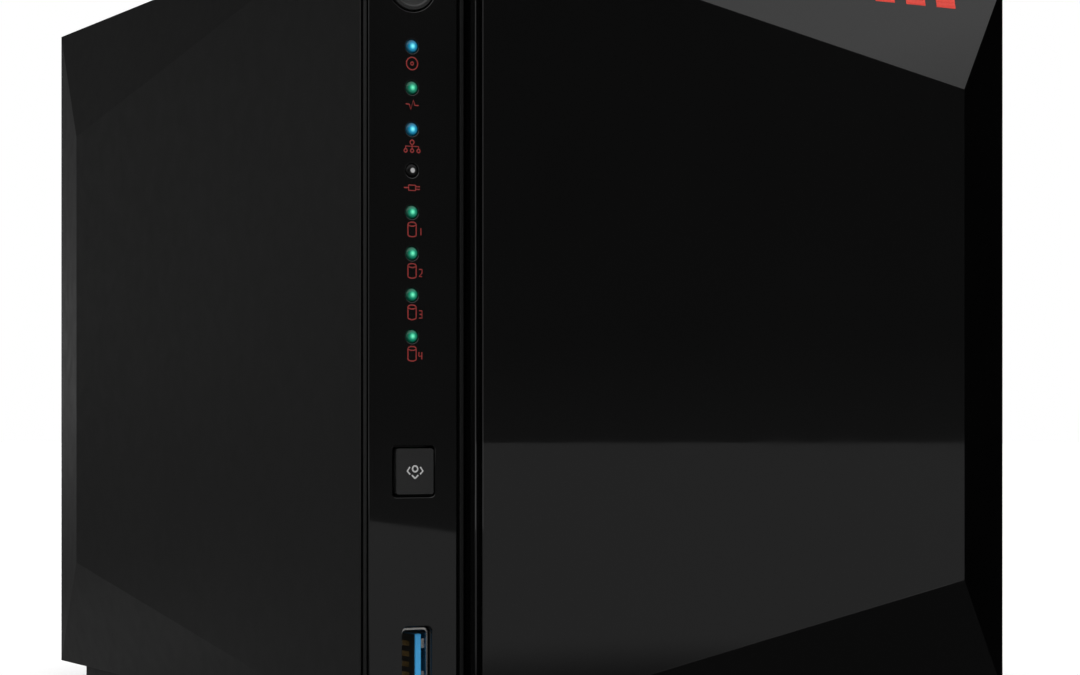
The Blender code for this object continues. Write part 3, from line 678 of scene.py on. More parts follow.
def side_form(name, side, shift, y, z):
    """The faceted outside of a side panel. side is -1 at the left, and shift moves it inwards."""

    def at(half_width, depth, height):
        return side * (half_width - shift), depth, height

    bm = bmesh.new()
    edge = HALF_WIDTH - shift
    box_mesh(bm, sorted((side * edge, side * (PANEL_REAR_HALF_WIDTH - 2.5))), y, z)
    inside = (0.0, 0.0, HEIGHT / 2)
    rear = PANEL_REAR_HALF_WIDTH
    low, high = PANEL_VERTEX_Z
    lower = at(HALF_WIDTH, PANEL_CHAMFER_FRONT, low)
    upper = at(HALF_WIDTH, PANEL_CHAMFER_FRONT, high)
    cut_flat(bm, (upper, lower, at(rear, SHELL_REAR, HEIGHT)), inside)
    cut_flat(bm, (upper, at(HALF_WIDTH, SHELL_FRONT, HEIGHT), at(rear, SHELL_REAR, HEIGHT)), inside)
    front_foot = at(HALF_WIDTH, SHELL_FRONT, SHELL_BOTTOM)
    cut_flat(bm, (lower, front_foot, at(rear, SHELL_REAR, SHELL_BOTTOM)), inside)
    return solid(name, bm)


def side_panel(name, side, front):
    """A moulded panel with stiffening ribs on its inner face and a narrow groove in its front edge."""
    panel = side_form(name + "_shell", side, 0.0, (front, SHELL_REAR), (SHELL_BOTTOM, HEIGHT))
    beyond = ((front - 5, SHELL_REAR + 5), (SHELL_BOTTOM - 5, HEIGHT + 5))
    carve(panel, "DIFFERENCE", side_form("inside", side, PANEL_WALL, *beyond))
    inner = HALF_WIDTH - PANEL_WALL
    across = sorted((side * (inner + 0.5), side * (inner - 2.0)))
    ribs = [(across, (-80, 60), around(z, 1.4)) for z in (60, 120)]
    carve(panel, "UNION", boxes("ribs", ribs))
    lip = around(side * (HALF_WIDTH - 0.6), 0.6)
    groove = (lip, (front - 1, front + 1.4), (9, HEIGHT - 2))
    carve(panel, "DIFFERENCE", boxes("shadow_groove", [groove]))
    dress(panel, SIDE_BLACK, stands_for=name, edge=0.5)


def top_cover():
    span = span_of("top_cover")
    front, rear = span[1]
    bm = bmesh.new()
    box_mesh(bm, (-HALF_WIDTH, HALF_WIDTH), span[1], (172.8, HEIGHT))
    for side in (-1, 1):
        start, end = (side * 81.7, front), (side * 75.4, rear)
        cut_flat(bm, ((*start, 0.0), (*end, 0.0), (*end, 100.0)), (0.0, 0.0, 50.0))
    cover = solid("top_cover_shell", bm)
    flanges = [(around(side * 72, 1.6), (-84, 94), (166, 173.5)) for side in (-1, 1)]
    carve(cover, "UNION", boxes("flanges", flanges))
    dress(cover, SIDE_BLACK, stands_for="top_cover", edge=0.45)


def foot(node):
    """A pressed-in rubber foot, with a rounded rim and a shallow ring in its sole."""
    x, y, _ = middle_of(node)
    top = span_of(node)[2][1]
    profile = (
        (0, 0.5), (3.6, 0.5), (4.2, 0.15), (4.8, 0.0), (6.4, 0.0), (7.2, 0.2),
        (7.8, 0.8), (8.0, 1.6), (8.0, top - 0.5), (7.6, top), (0, top),
    )
    dress(turned(node + "_pad", profile, [(x, y, 0.0)], "Z"), RUBBER, stands_for=node)


def base():
    x, y, z = span_of("base_plinth")
    plinth = boxes("base_plinth_moulding", [(x, y, z)])
    hollow = ((x[0] + 2.4, x[1] - 2.4), (y[0] + 2.4, y[1] - 2.4), (1, 5.4))
    carve(plinth, "DIFFERENCE", boxes("inside", [hollow]))
    ribs = [(around(rib, 1.4), (y[0] + 1, y[1] - 1), (3.4, 5.8)) for rib in (-38, 0, 38)]
    carve(plinth, "UNION", boxes("ribs", ribs))
    dress(plinth, DARK_PLASTIC, stands_for="base_plinth", edge=0.5)
    for place in ("front_left", "front_right", "rear_left", "rear_right"):
        foot("foot_" + place)
    refine("base_pan", STEEL, 0.2)


# ---- front cover ----


def front_form(name, shift, x, z, back):
    """The faceted front of the cover, moved back by shift."""
    face = COVER_Y[0] + shift
    side = face + COVER_FACET_DEPTH
    bm = bmesh.new()
    box_mesh(bm, x, (face, back), z)
    inside = (0.0, 0.0, HEIGHT / 2)
    lower, upper = ((COVER_VERTEX_X, face, height) for height in COVER_VERTEX_Z)
    (left, right), (bottom, top) = COVER_X, COVER_Z
    cut_flat(bm, (upper, lower, (right, side, top)), inside)
    cut_flat(bm, (upper, (left, face, top), (right, side, top)), inside)
    cut_flat(bm, (lower, (left, face, bottom), (right, side, bottom)), inside)
    return solid(name, bm)


def facet_point(x, z):
    """The point of the cover's upper facet at (x, z), and the way that facet faces."""
    face = COVER_Y[0]
    vertex = Vector((COVER_VERTEX_X, face, COVER_VERTEX_Z[1]))
    corner = Vector((COVER_X[0], face, COVER_Z[1]))
    right = Vector((COVER_X[1], face + COVER_FACET_DEPTH, COVER_Z[1]))
    out = (right - vertex).cross(corner - vertex).normalized()
    if out.y > 0:
        out = -out
    y = face - (out.x * (x - vertex.x) + out.z * (z - vertex.z)) / out.y
    return (x, y, z), out


def front_cover():
    """The glossy cover: a thin shell, bosses behind its right side, and a row of four bars as its mark."""
    wall, skin = 3.3, 2.2
    cover = front_form("cover_shell", 0.0, COVER_X, COVER_Z, -92.0)
    behind = front_form("behind", wall, (COVER_X[0] - 5, COVER_X[1] + 5), (0, HEIGHT + 5), -85.0)
    across = (COVER_X[0] - 5, COVER_X[1] - skin)
    inside = front_form("inside", skin, across, (COVER_Z[0] + skin, COVER_Z[1] - skin), -85.0)
    carve(cover, "DIFFERENCE", behind, inside)
    magnets = [f"cover_magnet_{number}" for number in BAYS]
    right = [node for node in magnets if middle_of(node)[0] > 0]
    front, back = -102.4, span_of(right[0])[1][0] - 0.1
    bosses = [(middle_of(node)[0], (front + back) / 2, middle_of(node)[2]) for node in right]
    carve(cover, "UNION", rods("bosses", bosses, radius=4.5, length=back - front))
    dress(cover, COVER_BLACK, COVER, "front_cover", edge=0.6)
    edge_z = (COVER_Z[0] + skin + 0.3, COVER_Z[1] - skin - 0.3)
    edge_y = (COVER_Y[0] + skin + 0.2, -93.0)
    edge = boxes("bezel_side_edge", [(around(COVER_X[0] + 0.05, 1.1), edge_y, edge_z)])
    dress(edge, COVER_BLACK, edge=0.42, segments=4)
    for number in BAYS:
        magnet(number)
    mark()


def magnet(number):
    """A disc magnet with a chamfered, plated rim."""
    node = f"cover_magnet_{number}"
    x, _, z = middle_of(node)
    front, back = span_of(node)[1]
    profile = ((0, front), (3.3, front), (3.5, front + 0.2), (3.5, back - 0.2), (3.3, back), (0, back))
    dress(turned(f"magnet_{number}", profile, [(x, 0.0, z)]), NICKEL, COVER, node)


def mark():
    """Four short red bars in a row, one for each bay."""
    bar, pitch, tall = 5.6, 8.9, 4.4
    middle_x, middle_z = 51.0, 169.4
    strokes = []
    rows = 5
    for bay in BAYS:
        x = (bay - 2.5) * pitch
        for row in range(rows):
            z = -tall / 2 + tall * row / (rows - 1)
            strokes.append(line((x - bar / 2, z), (x + bar / 2, z)))
    point, out = facet_point(middle_x, middle_z)
    symbol("bay_mark", strokes, 1.25, on_face(point, out), RED_MARK, COVER, 0.05)


# ---- status strip ----


def status_strip():
    """The glossy strip, with openings for the lights, the two buttons and the port."""
    power_x, _, power_z = middle_of("power_button")
    copy_x, _, copy_z = middle_of("copy_button")
    usb_x, _, usb_z = middle_of("usb_front_shell")
    holes = [ring(x, z, LIGHT_RADIUS + 0.12, 32)[0] for x, _, z in LIGHT_PLACES]
    holes.append(ring(power_x, power_z, 5.5, 72)[0])
    holes.append(rounded_outline(around(copy_x, 9.7), around(copy_z, 10.6), 0.8))
    holes.append(rounded_outline(around(usb_x, 6.9), around(usb_z, 14.2), 1.2))
    edge_x = STRIP_X[1] - 0.8
    outline = rounded_outline((STRIP_X[0], edge_x), STRIP_Z, 0.3, 3)
    strip = punched_plate("strip_moulding", outline, holes, STRIP_Y, 0.22, 2)
    keep_faces_flat(dress(strip, STRIP_BLACK, stands_for="status_strip"))
    lip_z = (STRIP_Z[0] + 0.2, STRIP_Z[1] - 0.2)
    lip = [((edge_x + 0.9, edge_x + 1.8), (STRIP_FACE + 0.4, -96.4), lip_z)]
    lip += [((edge_x + 0.1, edge_x + 1.7), (-97.0, -96.3), lip_z)]
    dress(boxes("strip_side_lip", lip), SIDE_BLACK, edge=0.08, segments=1)


def status_lights():
    """A domed lens for each light. The guide behind them stays as the CAD has it."""
    guide = frame["nodes"]["light_guide"].data.materials
    guide.clear()
    guide.append(LIGHT_GUIDE)
    reach = STRIP_FACE - 0.35
    profile = [(LIGHT_RADIUS, STRIP_FACE + 1.6), (LIGHT_RADIUS, STRIP_FACE + 0.1)]
    for step in range(1, 7):
        turn = step / 6 * math.pi / 2
        along = STRIP_FACE + 0.1 + (reach - STRIP_FACE - 0.1) * math.sin(turn)
        profile.append((LIGHT_RADIUS * math.cos(turn) if step < 6 else 0, along))
    profile.insert(0, (0, STRIP_FACE + 1.6))
    for number, (kind, centre) in enumerate(zip(LIGHTS, LIGHT_PLACES), 1):
        origin = (centre[0], STRIP_FACE, centre[2])
        lens = turned(f"status_light_{number}", profile, [centre], segments=32, origin=origin)
        dress(lens, LENSES[kind])


def drive_strokes(number):
    """A drive as a can seen from the side, with its bay's number beside it."""
    wide, low, high = 0.95, -1.15, 1.05
    turns = [math.pi * i / 10 for i in range(11)]
    top = [(wide * math.cos(2 * t), high + 0.42 * math.sin(2 * t)) for t in turns[:-1]]
    foot_arc = [(-wide * math.cos(t), low - 0.42 * math.sin(t)) for t in turns]
    strokes = [(top, True), line((-wide, high), *foot_arc, (wide, high))]
    digits = {
        1: [line((0.1, 0.75), (0.1, -0.75))],
        2: [line((-0.35, 0.75), (0.35, 0.75), (0.35, 0.0), (-0.35, -0.75), (0.35, -0.75))],
        3: [line((-0.35, 0.75), (0.35, 0.75), (0.35, -0.75), (-0.35, -0.75)), line((-0.2, 0.0), (0.35, 0.0))],
        4: [line((-0.35, 0.75), (-0.35, -0.1), (0.35, -0.1)), line((0.3, 0.75), (0.3, -0.75))],
    }
    return strokes + moved(digits[number], 1.95, -0.45)


def strip_symbols():
    """Plain printed symbols below the lights: power, activity, network, plug and four drives."""
    stroke = SYMBOL_STROKE
    power = [ring(0, 0, 1.3), dot(0, 0, 0.45, stroke)]
    activity = [line((-1.5, 0.15), (-0.7, 0.15), (-0.3, -0.9), (0.3, 1.0), (0.65, -0.05), (1.5, -0.05))]
    network = [ring(0, 0.85, 0.45), line((0, 0.4), (0, -0.6))]
    network.append(line((-1.5, -0.6), (-1.5, 0.0), (1.5, 0.0), (1.5, -0.6)))
    network += [ring(x, -0.9, 0.35) for x in (-1.5, 0, 1.5)]
    plug = [line((-1.9, 0.0), (-0.8, 0.0))]
    plug.append(line((-0.8, 0.55), (-0.8, -0.55), (0.8, -0.55), (0.8, 0.55), (-0.8, 0.55)))
    plug += [line((0.8, z), (1.8, z)) for z in (-0.28, 0.28)]
    shapes = [power, activity, network, plug, *(drive_strokes(number) for number in BAYS)]
    strokes = []
    for shape, (x, _, z) in zip(shapes, LIGHT_PLACES):
        strokes += moved(shape, x, z - SYMBOL_DROP)
    place = on_face((0.0, STRIP_FACE, 0.0))
    symbol("status_symbols", strokes, stroke, place, RED_INK)


def power_button():
    """A round button: a polished rim, a shallow dish and a printed power sign."""
    x, _, z = middle_of("power_button")
    front = span_of("power_button")[1][0]
    back = span_of("power_button")[1][1]
    rim = 5.2
    profile = [(0, front + 0.5)]
    profile += [(radius, front + 0.5 - 0.28 * (radius / 4.2) ** 2) for radius in (1.2, 2.4, 3.4, 4.1)]
    profile += [(4.3, front + 0.05), (4.5, front), (4.8, front), (5.1, front + 0.12), (rim, front + 0.4)]
    profile += [(rim, front + 3.0), (2.3, front + 3.0), (2.3, back), (0, back)]
    button = turned("power_button_cap", profile, [(x, 0.0, z)], segments=72)
    dress(button, BUTTON_BLACK, "power_button", "power_button")
    arc = [math.radians(90 + turn) for turn in range(40, 321, 10)]
    sign = [([(1.5 * math.cos(t), 1.5 * math.sin(t)) for t in arc], False), line((0, 0.4), (0, 1.9))]
    place = on_face((x, front + 0.42, z))
    symbol("power_sign", sign, 0.34, place, GREY_INK, "power_button")


def copy_button():
    """The square one-touch button, with a broken ring printed on it."""
    x, y, z = span_of("copy_button")
    cap_back = y[0] + 3.2
    button = rounded_block("copy_button_cap", x, (y[0], cap_back), z, 0.5, 4)
    middle = middle_of("copy_button")
    stem_middle = (middle[0], (cap_back + y[1]) / 2 - 0.2, middle[2])
    stem = rods("stem", [stem_middle], radius=2.3, length=y[1] - cap_back + 0.4)
    carve(button, "UNION", stem)
    dress(button, BUTTON_BLACK, "copy_button", "copy_button", edge=0.3)
    sign = [ring(0, 0.55, 0.6)]
    for side in (-1, 1):
        sign.append(line((side * 1.2, 0.95), (side * 1.8, 0.1), (side * 1.15, -0.6)))
        sign.append(line((side * 0.75, -0.75), (0, -1.45)))
    place = on_face((middle[0], y[0], middle[2]))
    symbol("copy_sign", sign, 0.34, place, WHITE_INK, "copy_button")


# ---- ports ----


def usb_port(name, node, towards, inset=0.0, tongue_node=None):
    """A port: a drawn shell with round corners and spring tabs, a tongue and its contacts.

    towards is the way its mouth faces along Y, and inset moves that mouth back into the object.
    """
    x, y, z = span_of(node)
    middle = (sum(x) / 2, sum(z) / 2)
    width, height = x[1] - x[0] + 0.4, z[1] - z[0] + 0.3
    mouth = (y[0] if towards < 0 else y[1]) - towards * inset
    back = y[1] if towards < 0 else y[0]

    def along(start, end):
        """Distances inwards from the mouth, as limits on Y."""
        return tuple(sorted((mouth - towards * start, mouth - towards * end)))

    wall = 0.45
    across, upright = around(middle[0], width), around(middle[1], height)
    shell = rounded_block(name + "_shell", across, sorted((mouth, back)), upright, 1.1)
    across, upright = around(middle[0], width - 2 * wall), around(middle[1], height - 2 * wall)
    hollow = rounded_block("mouth", across, along(-2, abs(back - mouth) - 1.2), upright, 0.75)
    carve(shell, "DIFFERENCE", hollow)
    tabs = []
    for side in (-1, 1):
        face = middle[0] + side * (width / 2 - wall - 0.1)
        tabs += [(around(face, 0.5), along(1.6, 6.5), around(middle[1] + up, 2.0)) for up in (-3.4, 3.4)]
    carve(shell, "UNION", boxes("tabs", tabs))
    dress(shell, NICKEL, stands_for=node, edge=0.1, segments=2)
    tongue_x = around(middle[0] - towards * 1.45, 1.4)
    spans = [(tongue_x, along(0.9, abs(back - mouth) - 1.3), around(middle[1], 11.0))]
    tongue = boxes(name + "_tongue", spans)
    dress(tongue, USB_BLUE_WITH_PAINTED_HIGHLIGHT, stands_for=tongue_node, edge=0.25)
    face = tongue_x[0] if towards < 0 else tongue_x[1]
    behind = (around(face, 0.16), along(1.3, 10), around(middle[1], 10.6))
    carrier = boxes(name + "_contact_carrier", [behind])
    dress(carrier, CHIP_BLACK, edge=0.05, segments=1)
    face += towards * 0.08
    steps = (-1.5, -0.5, 0.5, 1.5)
    contacts = [(around(face, 0.16), along(3.6, 9.0), around(middle[1] + step * 2.2, 1.1)) for step in steps]
    dress(boxes(name + "_contacts", contacts), GOLD, edge=0.03, segments=1)


def network_socket():
    """The socket's shell keeps its CAD shape. Its contacts and two lamps are added."""
    refine("lan_socket", NICKEL, 0.25)
    x, y, z = span_of("lan_socket")
    middle_z = sum(z) / 2
    wires = [((-68.6, -66.8), (88.5, 98.5), around(middle_z + 1.02 * (i - 3.5), 0.4)) for i in range(8)]
    bm = bmesh.new()
    for wire in wires:
        box_mesh(bm, *wire)
    bmesh.ops.rotate(
        bm,
        verts=bm.verts,
        cent=Vector((-66.8, 98.5, middle_z)) * MM,
        matrix=Matrix.Rotation(math.radians(-12), 3, "Z"),
    )
    dress(solid("network_contacts", bm), GOLD, edge=0.08, segments=1)
    face = ((x[1] - 2.6, x[1] - 0.9), (y[1] - 0.5, y[1] + 0.15))
    lamps = [(*face, around(middle_z + side * 6.6, 1.5)) for side in (-1, 1)]
    dress(boxes("network_lamps", lamps), AMBER, edge=0.15)


def power_inlet():
    """A round low-voltage inlet: collar, barrel and centre pin."""
    refine("dc_inlet", DARK_PLASTIC, 0.25)
    profile = ((0, 91), (1.0, 91), (1.0, 98.6), (0.8, 99.2), (0, 99.3))
    dress(turned("inlet_pin", profile, [(INLET[0], 0.0, INLET[1])], segments=24), NICKEL)


# ---- bays ----


def tray(number):
    """A tray: vented front plate, rails, screwed side plate and ears."""
    name = f"tray_{number}"
    x, y, z = span_of(name)
    centre = sum(x) / 2
    front, rear = y
    plate_back = front + 2.8
    drive_z = span_of(f"drive_{number}")[2]
    body = boxes(name + "_carrier", [(x, (front, plate_back), z)])
    depth = (plate_back - 0.5, rear)
    low = (drive_z[0] - 2.3, drive_z[0] - 0.3)
    high = (drive_z[1] + 0.3, drive_z[1] + 2.3)
    rail = (centre - 15, centre + 13)
    ear = ((front, -92.2), (32.4, 37.6))
    webs = [
        (rail, depth, low),
        (rail, depth, high),
        ((centre - 15, centre - 13.6), depth, (low[0], high[1])),
        ((centre - 10.6, centre - 7.0), *ear),
        ((centre + 7.0, centre + 10.6), *ear),
    ]
    for web in webs:
        carve(body, "UNION", boxes("web", [web]))
    windows = [((centre - 17, centre - 12), around(middle, 44), (54, 128)) for middle in (-56, 0)]
    windows.append((around(centre, 14), (front - 2, front + 4), (31.0, 38.6)))
    rows = [45 + 9.5 * i for i in range(11)]
    places = [(centre + side * 11.2, front + 1, row) for side in (-1, 1) for row in rows]
    bore = rods("bore", [(centre, *LEVER_PIVOT)], PIN_BORE, length=24, axis="X", segments=24)
    carve(body, "DIFFERENCE", boxes("windows", windows), *slots("vents", places, 2.6, 7.2, 8), bore)
    dress(body, TRAY_PLASTIC, name, name, edge=0.3, segments=2)
    heads = []
    for height in (drive_z[0] + 6.4, drive_z[1] - 6.4):
        heads += [(centre - 15.2, depth_at, height) for depth_at in (-50.0, 25.0)]
    profile = ((0, -0.35), (1.6, -0.35), (2.4, 0.1), (2.4, 0.6), (0, 0.6))
    dress(turned(f"tray_screws_{number}", profile, heads, "X", 24), SCREW_STEEL, name)


def lever(number):
    """A latch lever with a finger recess, a grip edge and its bay's number."""
    node = f"tray_lever_{number}"
    x, y, z = span_of(node)
    centre = sum(x) / 2
    across = (centre - 6.5, centre + 6.5)
    body = rods(f"latch_{number}", [(centre, *LEVER_PIVOT)], 2.4, 13.0, "X", 40)
    bar = rounded_block("bar", across, (y[0], -97.3), (34, z[1]), 1.6)
    carve(body, "UNION", boxes("neck", [(across, (-98.6, LEVER_PIVOT[0]), (34.0, 36.8))]), bar)
    bore = rods("bore", [(centre, *LEVER_PIVOT)], PIN_BORE, length=20, axis="X", segments=24)
    grip = rounded_block("grip", around(centre, 8.4), (y[0] - 1, y[0] + 1.3), around(134.5, 13.6), 1.8)
    trough = rounded_block("trough", around(centre, 6.4), (y[0] - 1, y[0] + 0.5), around(84.0, 66.0), 1.2)
    carve(body, "DIFFERENCE", bore, grip, trough)
    dress(body, DARK_PLASTIC, node, node, edge=0.3, segments=2)
    strokes = moved(drive_strokes(number)[2:], -1.9 * 1.95, 1.9 * 0.45, 1.9)
    place = on_face((centre, y[0], 123.0))
    symbol(f"latch_number_{number}", strokes, 0.4, place, GREY_INK, node)
    refine(f"lever_pin_{number}", SCREW_STEEL, 0.15, f"tray_{number}")


def drive(number):
    """A bare drive on its edge: cast body, pressed lid with screws, and a board on its other face."""
    node = f"drive_{number}"
    carrier = f"tray_{number}"
    x, y, z = span_of(node)
    body = boxes(node + "_casting", [((x[0] + 1.6, x[1] - 1.2), y, z)])
    notch = ((x[0] - 1, x[0] + 9.3), (y[1] - 7.5, y[1] + 2), (45.0, 84.0))
    scoops = [((x[1] - 6, x[1] + 1), sorted((end, end + reach)), (z[0] + 16, z[1] - 16))
              for end, reach in ((y[0] - 1, 3.2), (y[1] + 1, -3.2))]
    holes = [(x[0] + 9.0, depth, height) for depth in (y[0] + 28.5, y[1] - 16.7) for height in z]
    bores = rods("bores", holes, radius=1.6, length=9, axis="Z", segments=20)
    carve(body, "DIFFERENCE", boxes("notch", [notch]), boxes("scoops", scoops), bores)
    dress(body, CAST_ALUMINIUM, carrier, node, edge=0.9)
    cover = ((x[1] - 1.3, x[1] - 0.35), (y[0] + 2.5, y[1] - 6), (z[0] + 2.5, z[1] - 2.5))
    lid = boxes(node + "_lid", [cover])
    hub_y, hub_z = y[0] + 52, sum(z) / 2
    dish = ((0, -0.6), (13, -0.6), (14.5, 0.2), (16, 1.0), (0, 1.0))
    carve(lid, "DIFFERENCE", turned("dish", dish, [(x[1] - 0.35, hub_y, hub_z)], "X", 64))
    raised = boxes("pad", [((x[1] - 0.6, x[1] - 0.1), (y[0] + 84, y[1] - 22), (z[0] + 18, z[1] - 18))])
    carve(lid, "UNION", raised)
    dress(lid, LID_ALUMINIUM, carrier, edge=0.35)
    rows = (z[0] + 6.5, z[1] - 6.5)
    heads = [(x[1] - 0.3, depth, row) for depth in (y[0] + 7, y[0] + 74, y[1] - 11) for row in rows]
    heads.append((x[1] - 0.3, hub_y, hub_z))
    profile = ((0, -0.35), (2.2, -0.35), (2.5, 0.0), (2.5, 0.25), (1.1, 0.28), (0.9, -0.1), (0, -0.1))
    dress(turned(node + "_screws", profile, heads, "X", 24), SCREW_STEEL, carrier)
    board_front = y[0] + 62
    plate = ((x[0] + 0.5, x[0] + 1.9), (board_front, y[1] - 9), (z[0] + 4, z[1] - 4))
    board = boxes(node + "_board", [plate])
    dress(board, BOARD_YZ, carrier, edge=0.15)
    chips = [((x[0], x[0] + 0.8), around(board_front + along, size), around(z[0] + up, size))
             for along, up, size in ((18, 30, 14), (42, 26, 9), (22, 66, 11), (50, 70, 7), (44, 48, 5))]
    dress(boxes(node + "_chips", chips), CHIP_BLACK, carrier, edge=0.15, segments=2)
    small_parts(node + "_small_parts", chips, x[0] + 0.55, 0.6, carrier)


def small_parts(name, chips, face, tall, body=CHASSIS):
    """Rows of small ceramic parts beside each chip, on a board whose outer face looks to -X."""
    spans = []
    for _, y, z in chips:
        count = max(2, round((z[1] - z[0]) / 2.4))
        for i in range(count):
            height = z[0] + (i + 0.5) * (z[1] - z[0]) / count
            for depth in (y[0] - 1.6, y[1] + 1.6):
                spans.append(((face - tall, face), around(depth, 1.6), around(height, 0.8)))
    dress(boxes(name, spans), CERAMIC, body, edge=0.08, segments=1)


def bay_parts():
    for number in BAYS:
        tray(number)
        drive(number)
        lever(number)
        refine(f"sata_connector_{number}", DARK_PLASTIC, 0.2)
    for node in ("cage_left_wall", "cage_right_wall", "cage_top_plate", "cage_bottom_plate"):
        refine(node, STEEL, 0.2)
    refine("backplane_board", BOARD_XZ, 0.1)
    refine("front_bezel", BEZEL_BLACK, 0.35).data.shade_flat()


# ---- electronics ----


def boards():
    """The main board, heat sink, status board and switches, with chips, small parts and capacitors on the
    main board.
    """
    refine("mainboard", BOARD_YZ, 0.1)
    refine("heat_sink", FIN_ALUMINIUM, 0.2)
    refine("status_board", BOARD_XZ, 0.1)
    for node in ("power_switch", "copy_switch"):
        refine(node, DARK_PLASTIC, 0.3)
    face = span_of("mainboard")[0][0]
    chips = []
    for row in range(2):
        height = around(137 - 14 * row, 9)
        chips += [((face - 1.2, face - 0.1), around(-52 + 14 * i, 10), height) for i in range(5)]
    chips += [((face - 1.4, face - 0.1), around(58, 16), around(118, 16))]
    chips += [((face - 2.2, face - 0.1), around(-44 + 22 * i, 7), around(40, 7)) for i in range(4)]
    dress(boxes("mainboard_chips", chips), CHIP_BLACK, edge=0.2, segments=2)
    small_parts("mainboard_small_parts", chips, face - 0.05, 0.6)
    cans = [(face - 4.1, -56 + 12 * i, 24.0) for i in range(9)]
    profile = ((0, -3.9), (2.9, -3.9), (3.2, -3.5), (3.2, 4.0), (0, 4.0))
    dress(turned("mainboard_capacitors", profile, cans, "X", 24), LID_ALUMINIUM)


# ---- rear ----


def knurled_head(name, node):
    """A thumb screw: a knurled head with a cross recess, on a plain shank."""
    x, _, z = middle_of(node)
    back, end = span_of(node)[1]
    teeth, outer, inner = 30, 4.5, 4.15
    bm = bmesh.new()
    sections = []
    for along, trim in ((101.3, 0.35), (101.65, 0.0), (104.6, 0.0), (end, 0.4)):
        sections.append([])
        for i in range(2 * teeth):
            radius = (outer if i % 2 else inner) - trim
            turn = math.pi * i / teeth
            sections[-1].append((x + radius * math.cos(turn), along, z + radius * math.sin(turn)))
    loft(bm, sections)
    head = solid(name, bm)
    arms = cross(x, (end - 1.3, end + 1), z, 0.9, 4.6)
    carve(head, "DIFFERENCE", *(boxes("arm", [arm]) for arm in arms))
    shank = rods("shank", [(x, (back + 101.5) / 2, z)], radius=1.9, length=101.5 - back, segments=24)
    carve(head, "UNION", shank)
    dress(head, SCREW_STEEL, stands_for=node)


def rear_panel():
    """The rear plate: a fine honeycomb over the fan, and the port openings."""
    x, y, z = span_of("rear_panel")
    fan_x, _, fan_z = middle_of("fan_frame")
    pitch, hole, reach = 6.6, 2.9, 57.0
    rise = pitch * math.sqrt(3) / 2
    rows = math.floor(reach / rise)
    holes = []
    for row in range(-rows, rows + 1):
        for column in range(-rows, rows + 1):
            across = (column + (row % 2) / 2) * pitch
            if math.hypot(across, row * rise) < reach - hole:
                corner = hole * 2 / math.sqrt(3)
                holes.append(ring(fan_x + across, fan_z + row * rise, corner, 6, math.pi / 6)[0])
    holes.append(rounded_outline(around(PORT_X, 14.4), around(middle_of("lan_socket")[2], 16.8), 0.8))
    for node in ("usb_rear_upper", "usb_rear_lower"):
        port_x, _, port_z = middle_of(node)
        holes.append(rounded_outline(around(port_x, 6.8), around(port_z, 14.2), 1.0))
    holes.append(rounded_outline(around(PORT_X, 3.2), around(LOCK_SLOT_Z, 7.2), 1.2))
    screw_x, screw_z = THUMB_SCREW
    round_holes = [(INLET, 4.6), ((PORT_X, RESET_HOLE_Z), 1.1)]
    round_holes += [((side * screw_x, screw_z), 2.3) for side in (-1, 1)]
    for (hole_x, hole_z), radius in round_holes:
        holes.append(ring(hole_x, hole_z, radius, 40)[0])
    plate = punched_plate("rear_plate", rounded_outline(x, z, 0.8), holes, y, 0.12, 0)
    keep_faces_flat(dress(plate, REAR_BLACK, stands_for="rear_panel"))
    fan_screws(fan_x, fan_z, y[1])
    knurled_head("thumb_screw_head_left", "thumb_screw_left")
    knurled_head("thumb_screw_head_right", "thumb_screw_right")


def fan_corners(x, y, z):
    """Where a screw goes through each corner of a 120 mm fan whose middle is at (x, z)."""
    return [(x + dx, y, z + dz) for dx in (-52.5, 52.5) for dz in (-52.5, 52.5)]


def fan_screws(fan_x, fan_z, face):
    """The four screws that hold the fan to the rear plate, with cross recesses."""
    profile = ((0, 0.02), (3.4, 0.02), (3.3, 0.7), (2.6, 1.4), (0, 1.6))
    places = fan_corners(fan_x, face, fan_z)
    heads = turned("fan_screws", profile, places, "Y", 32)
    arms = [arm for x, _, z in places for arm in cross(x, (face + 0.8, face + 3), z, 0.8, 3.6)]
    carve(heads, "DIFFERENCE", *(boxes("arm", [arm]) for arm in arms))
    dress(heads, BLACK_SCREW)


def fan():
    """The fan: a frame with a round throat, and a nine-bladed rotor."""
    x, y, z = span_of("fan_frame")
    centre_x, middle, centre_z = middle_of("fan_frame")
    through = y[1] - y[0] + 4
    body = rounded_block("fan_housing", x, y, z, 5.0)
    bore = rods("bore", [(centre_x, middle, centre_z)], radius=58, length=through, segments=96)
    corners = fan_corners(centre_x, middle, centre_z)
    carve(body, "DIFFERENCE", bore, rods("screw_holes", corners, radius=2.2, length=through, segments=24))
    arms = [boxes("arm", [arm]) for arm in cross(centre_x, (y[1] - 2.6, y[1]), centre_z, 118, 4)]
    motor = rods("motor", [(centre_x, y[1] - 1.3, centre_z)], radius=20, length=2.6, segments=64)
    carve(body, "UNION", *arms, motor)
    dress(body, DARK_PLASTIC, stands_for="fan_frame", edge=0.4, segments=2)
    rotor(centre_x, centre_z)


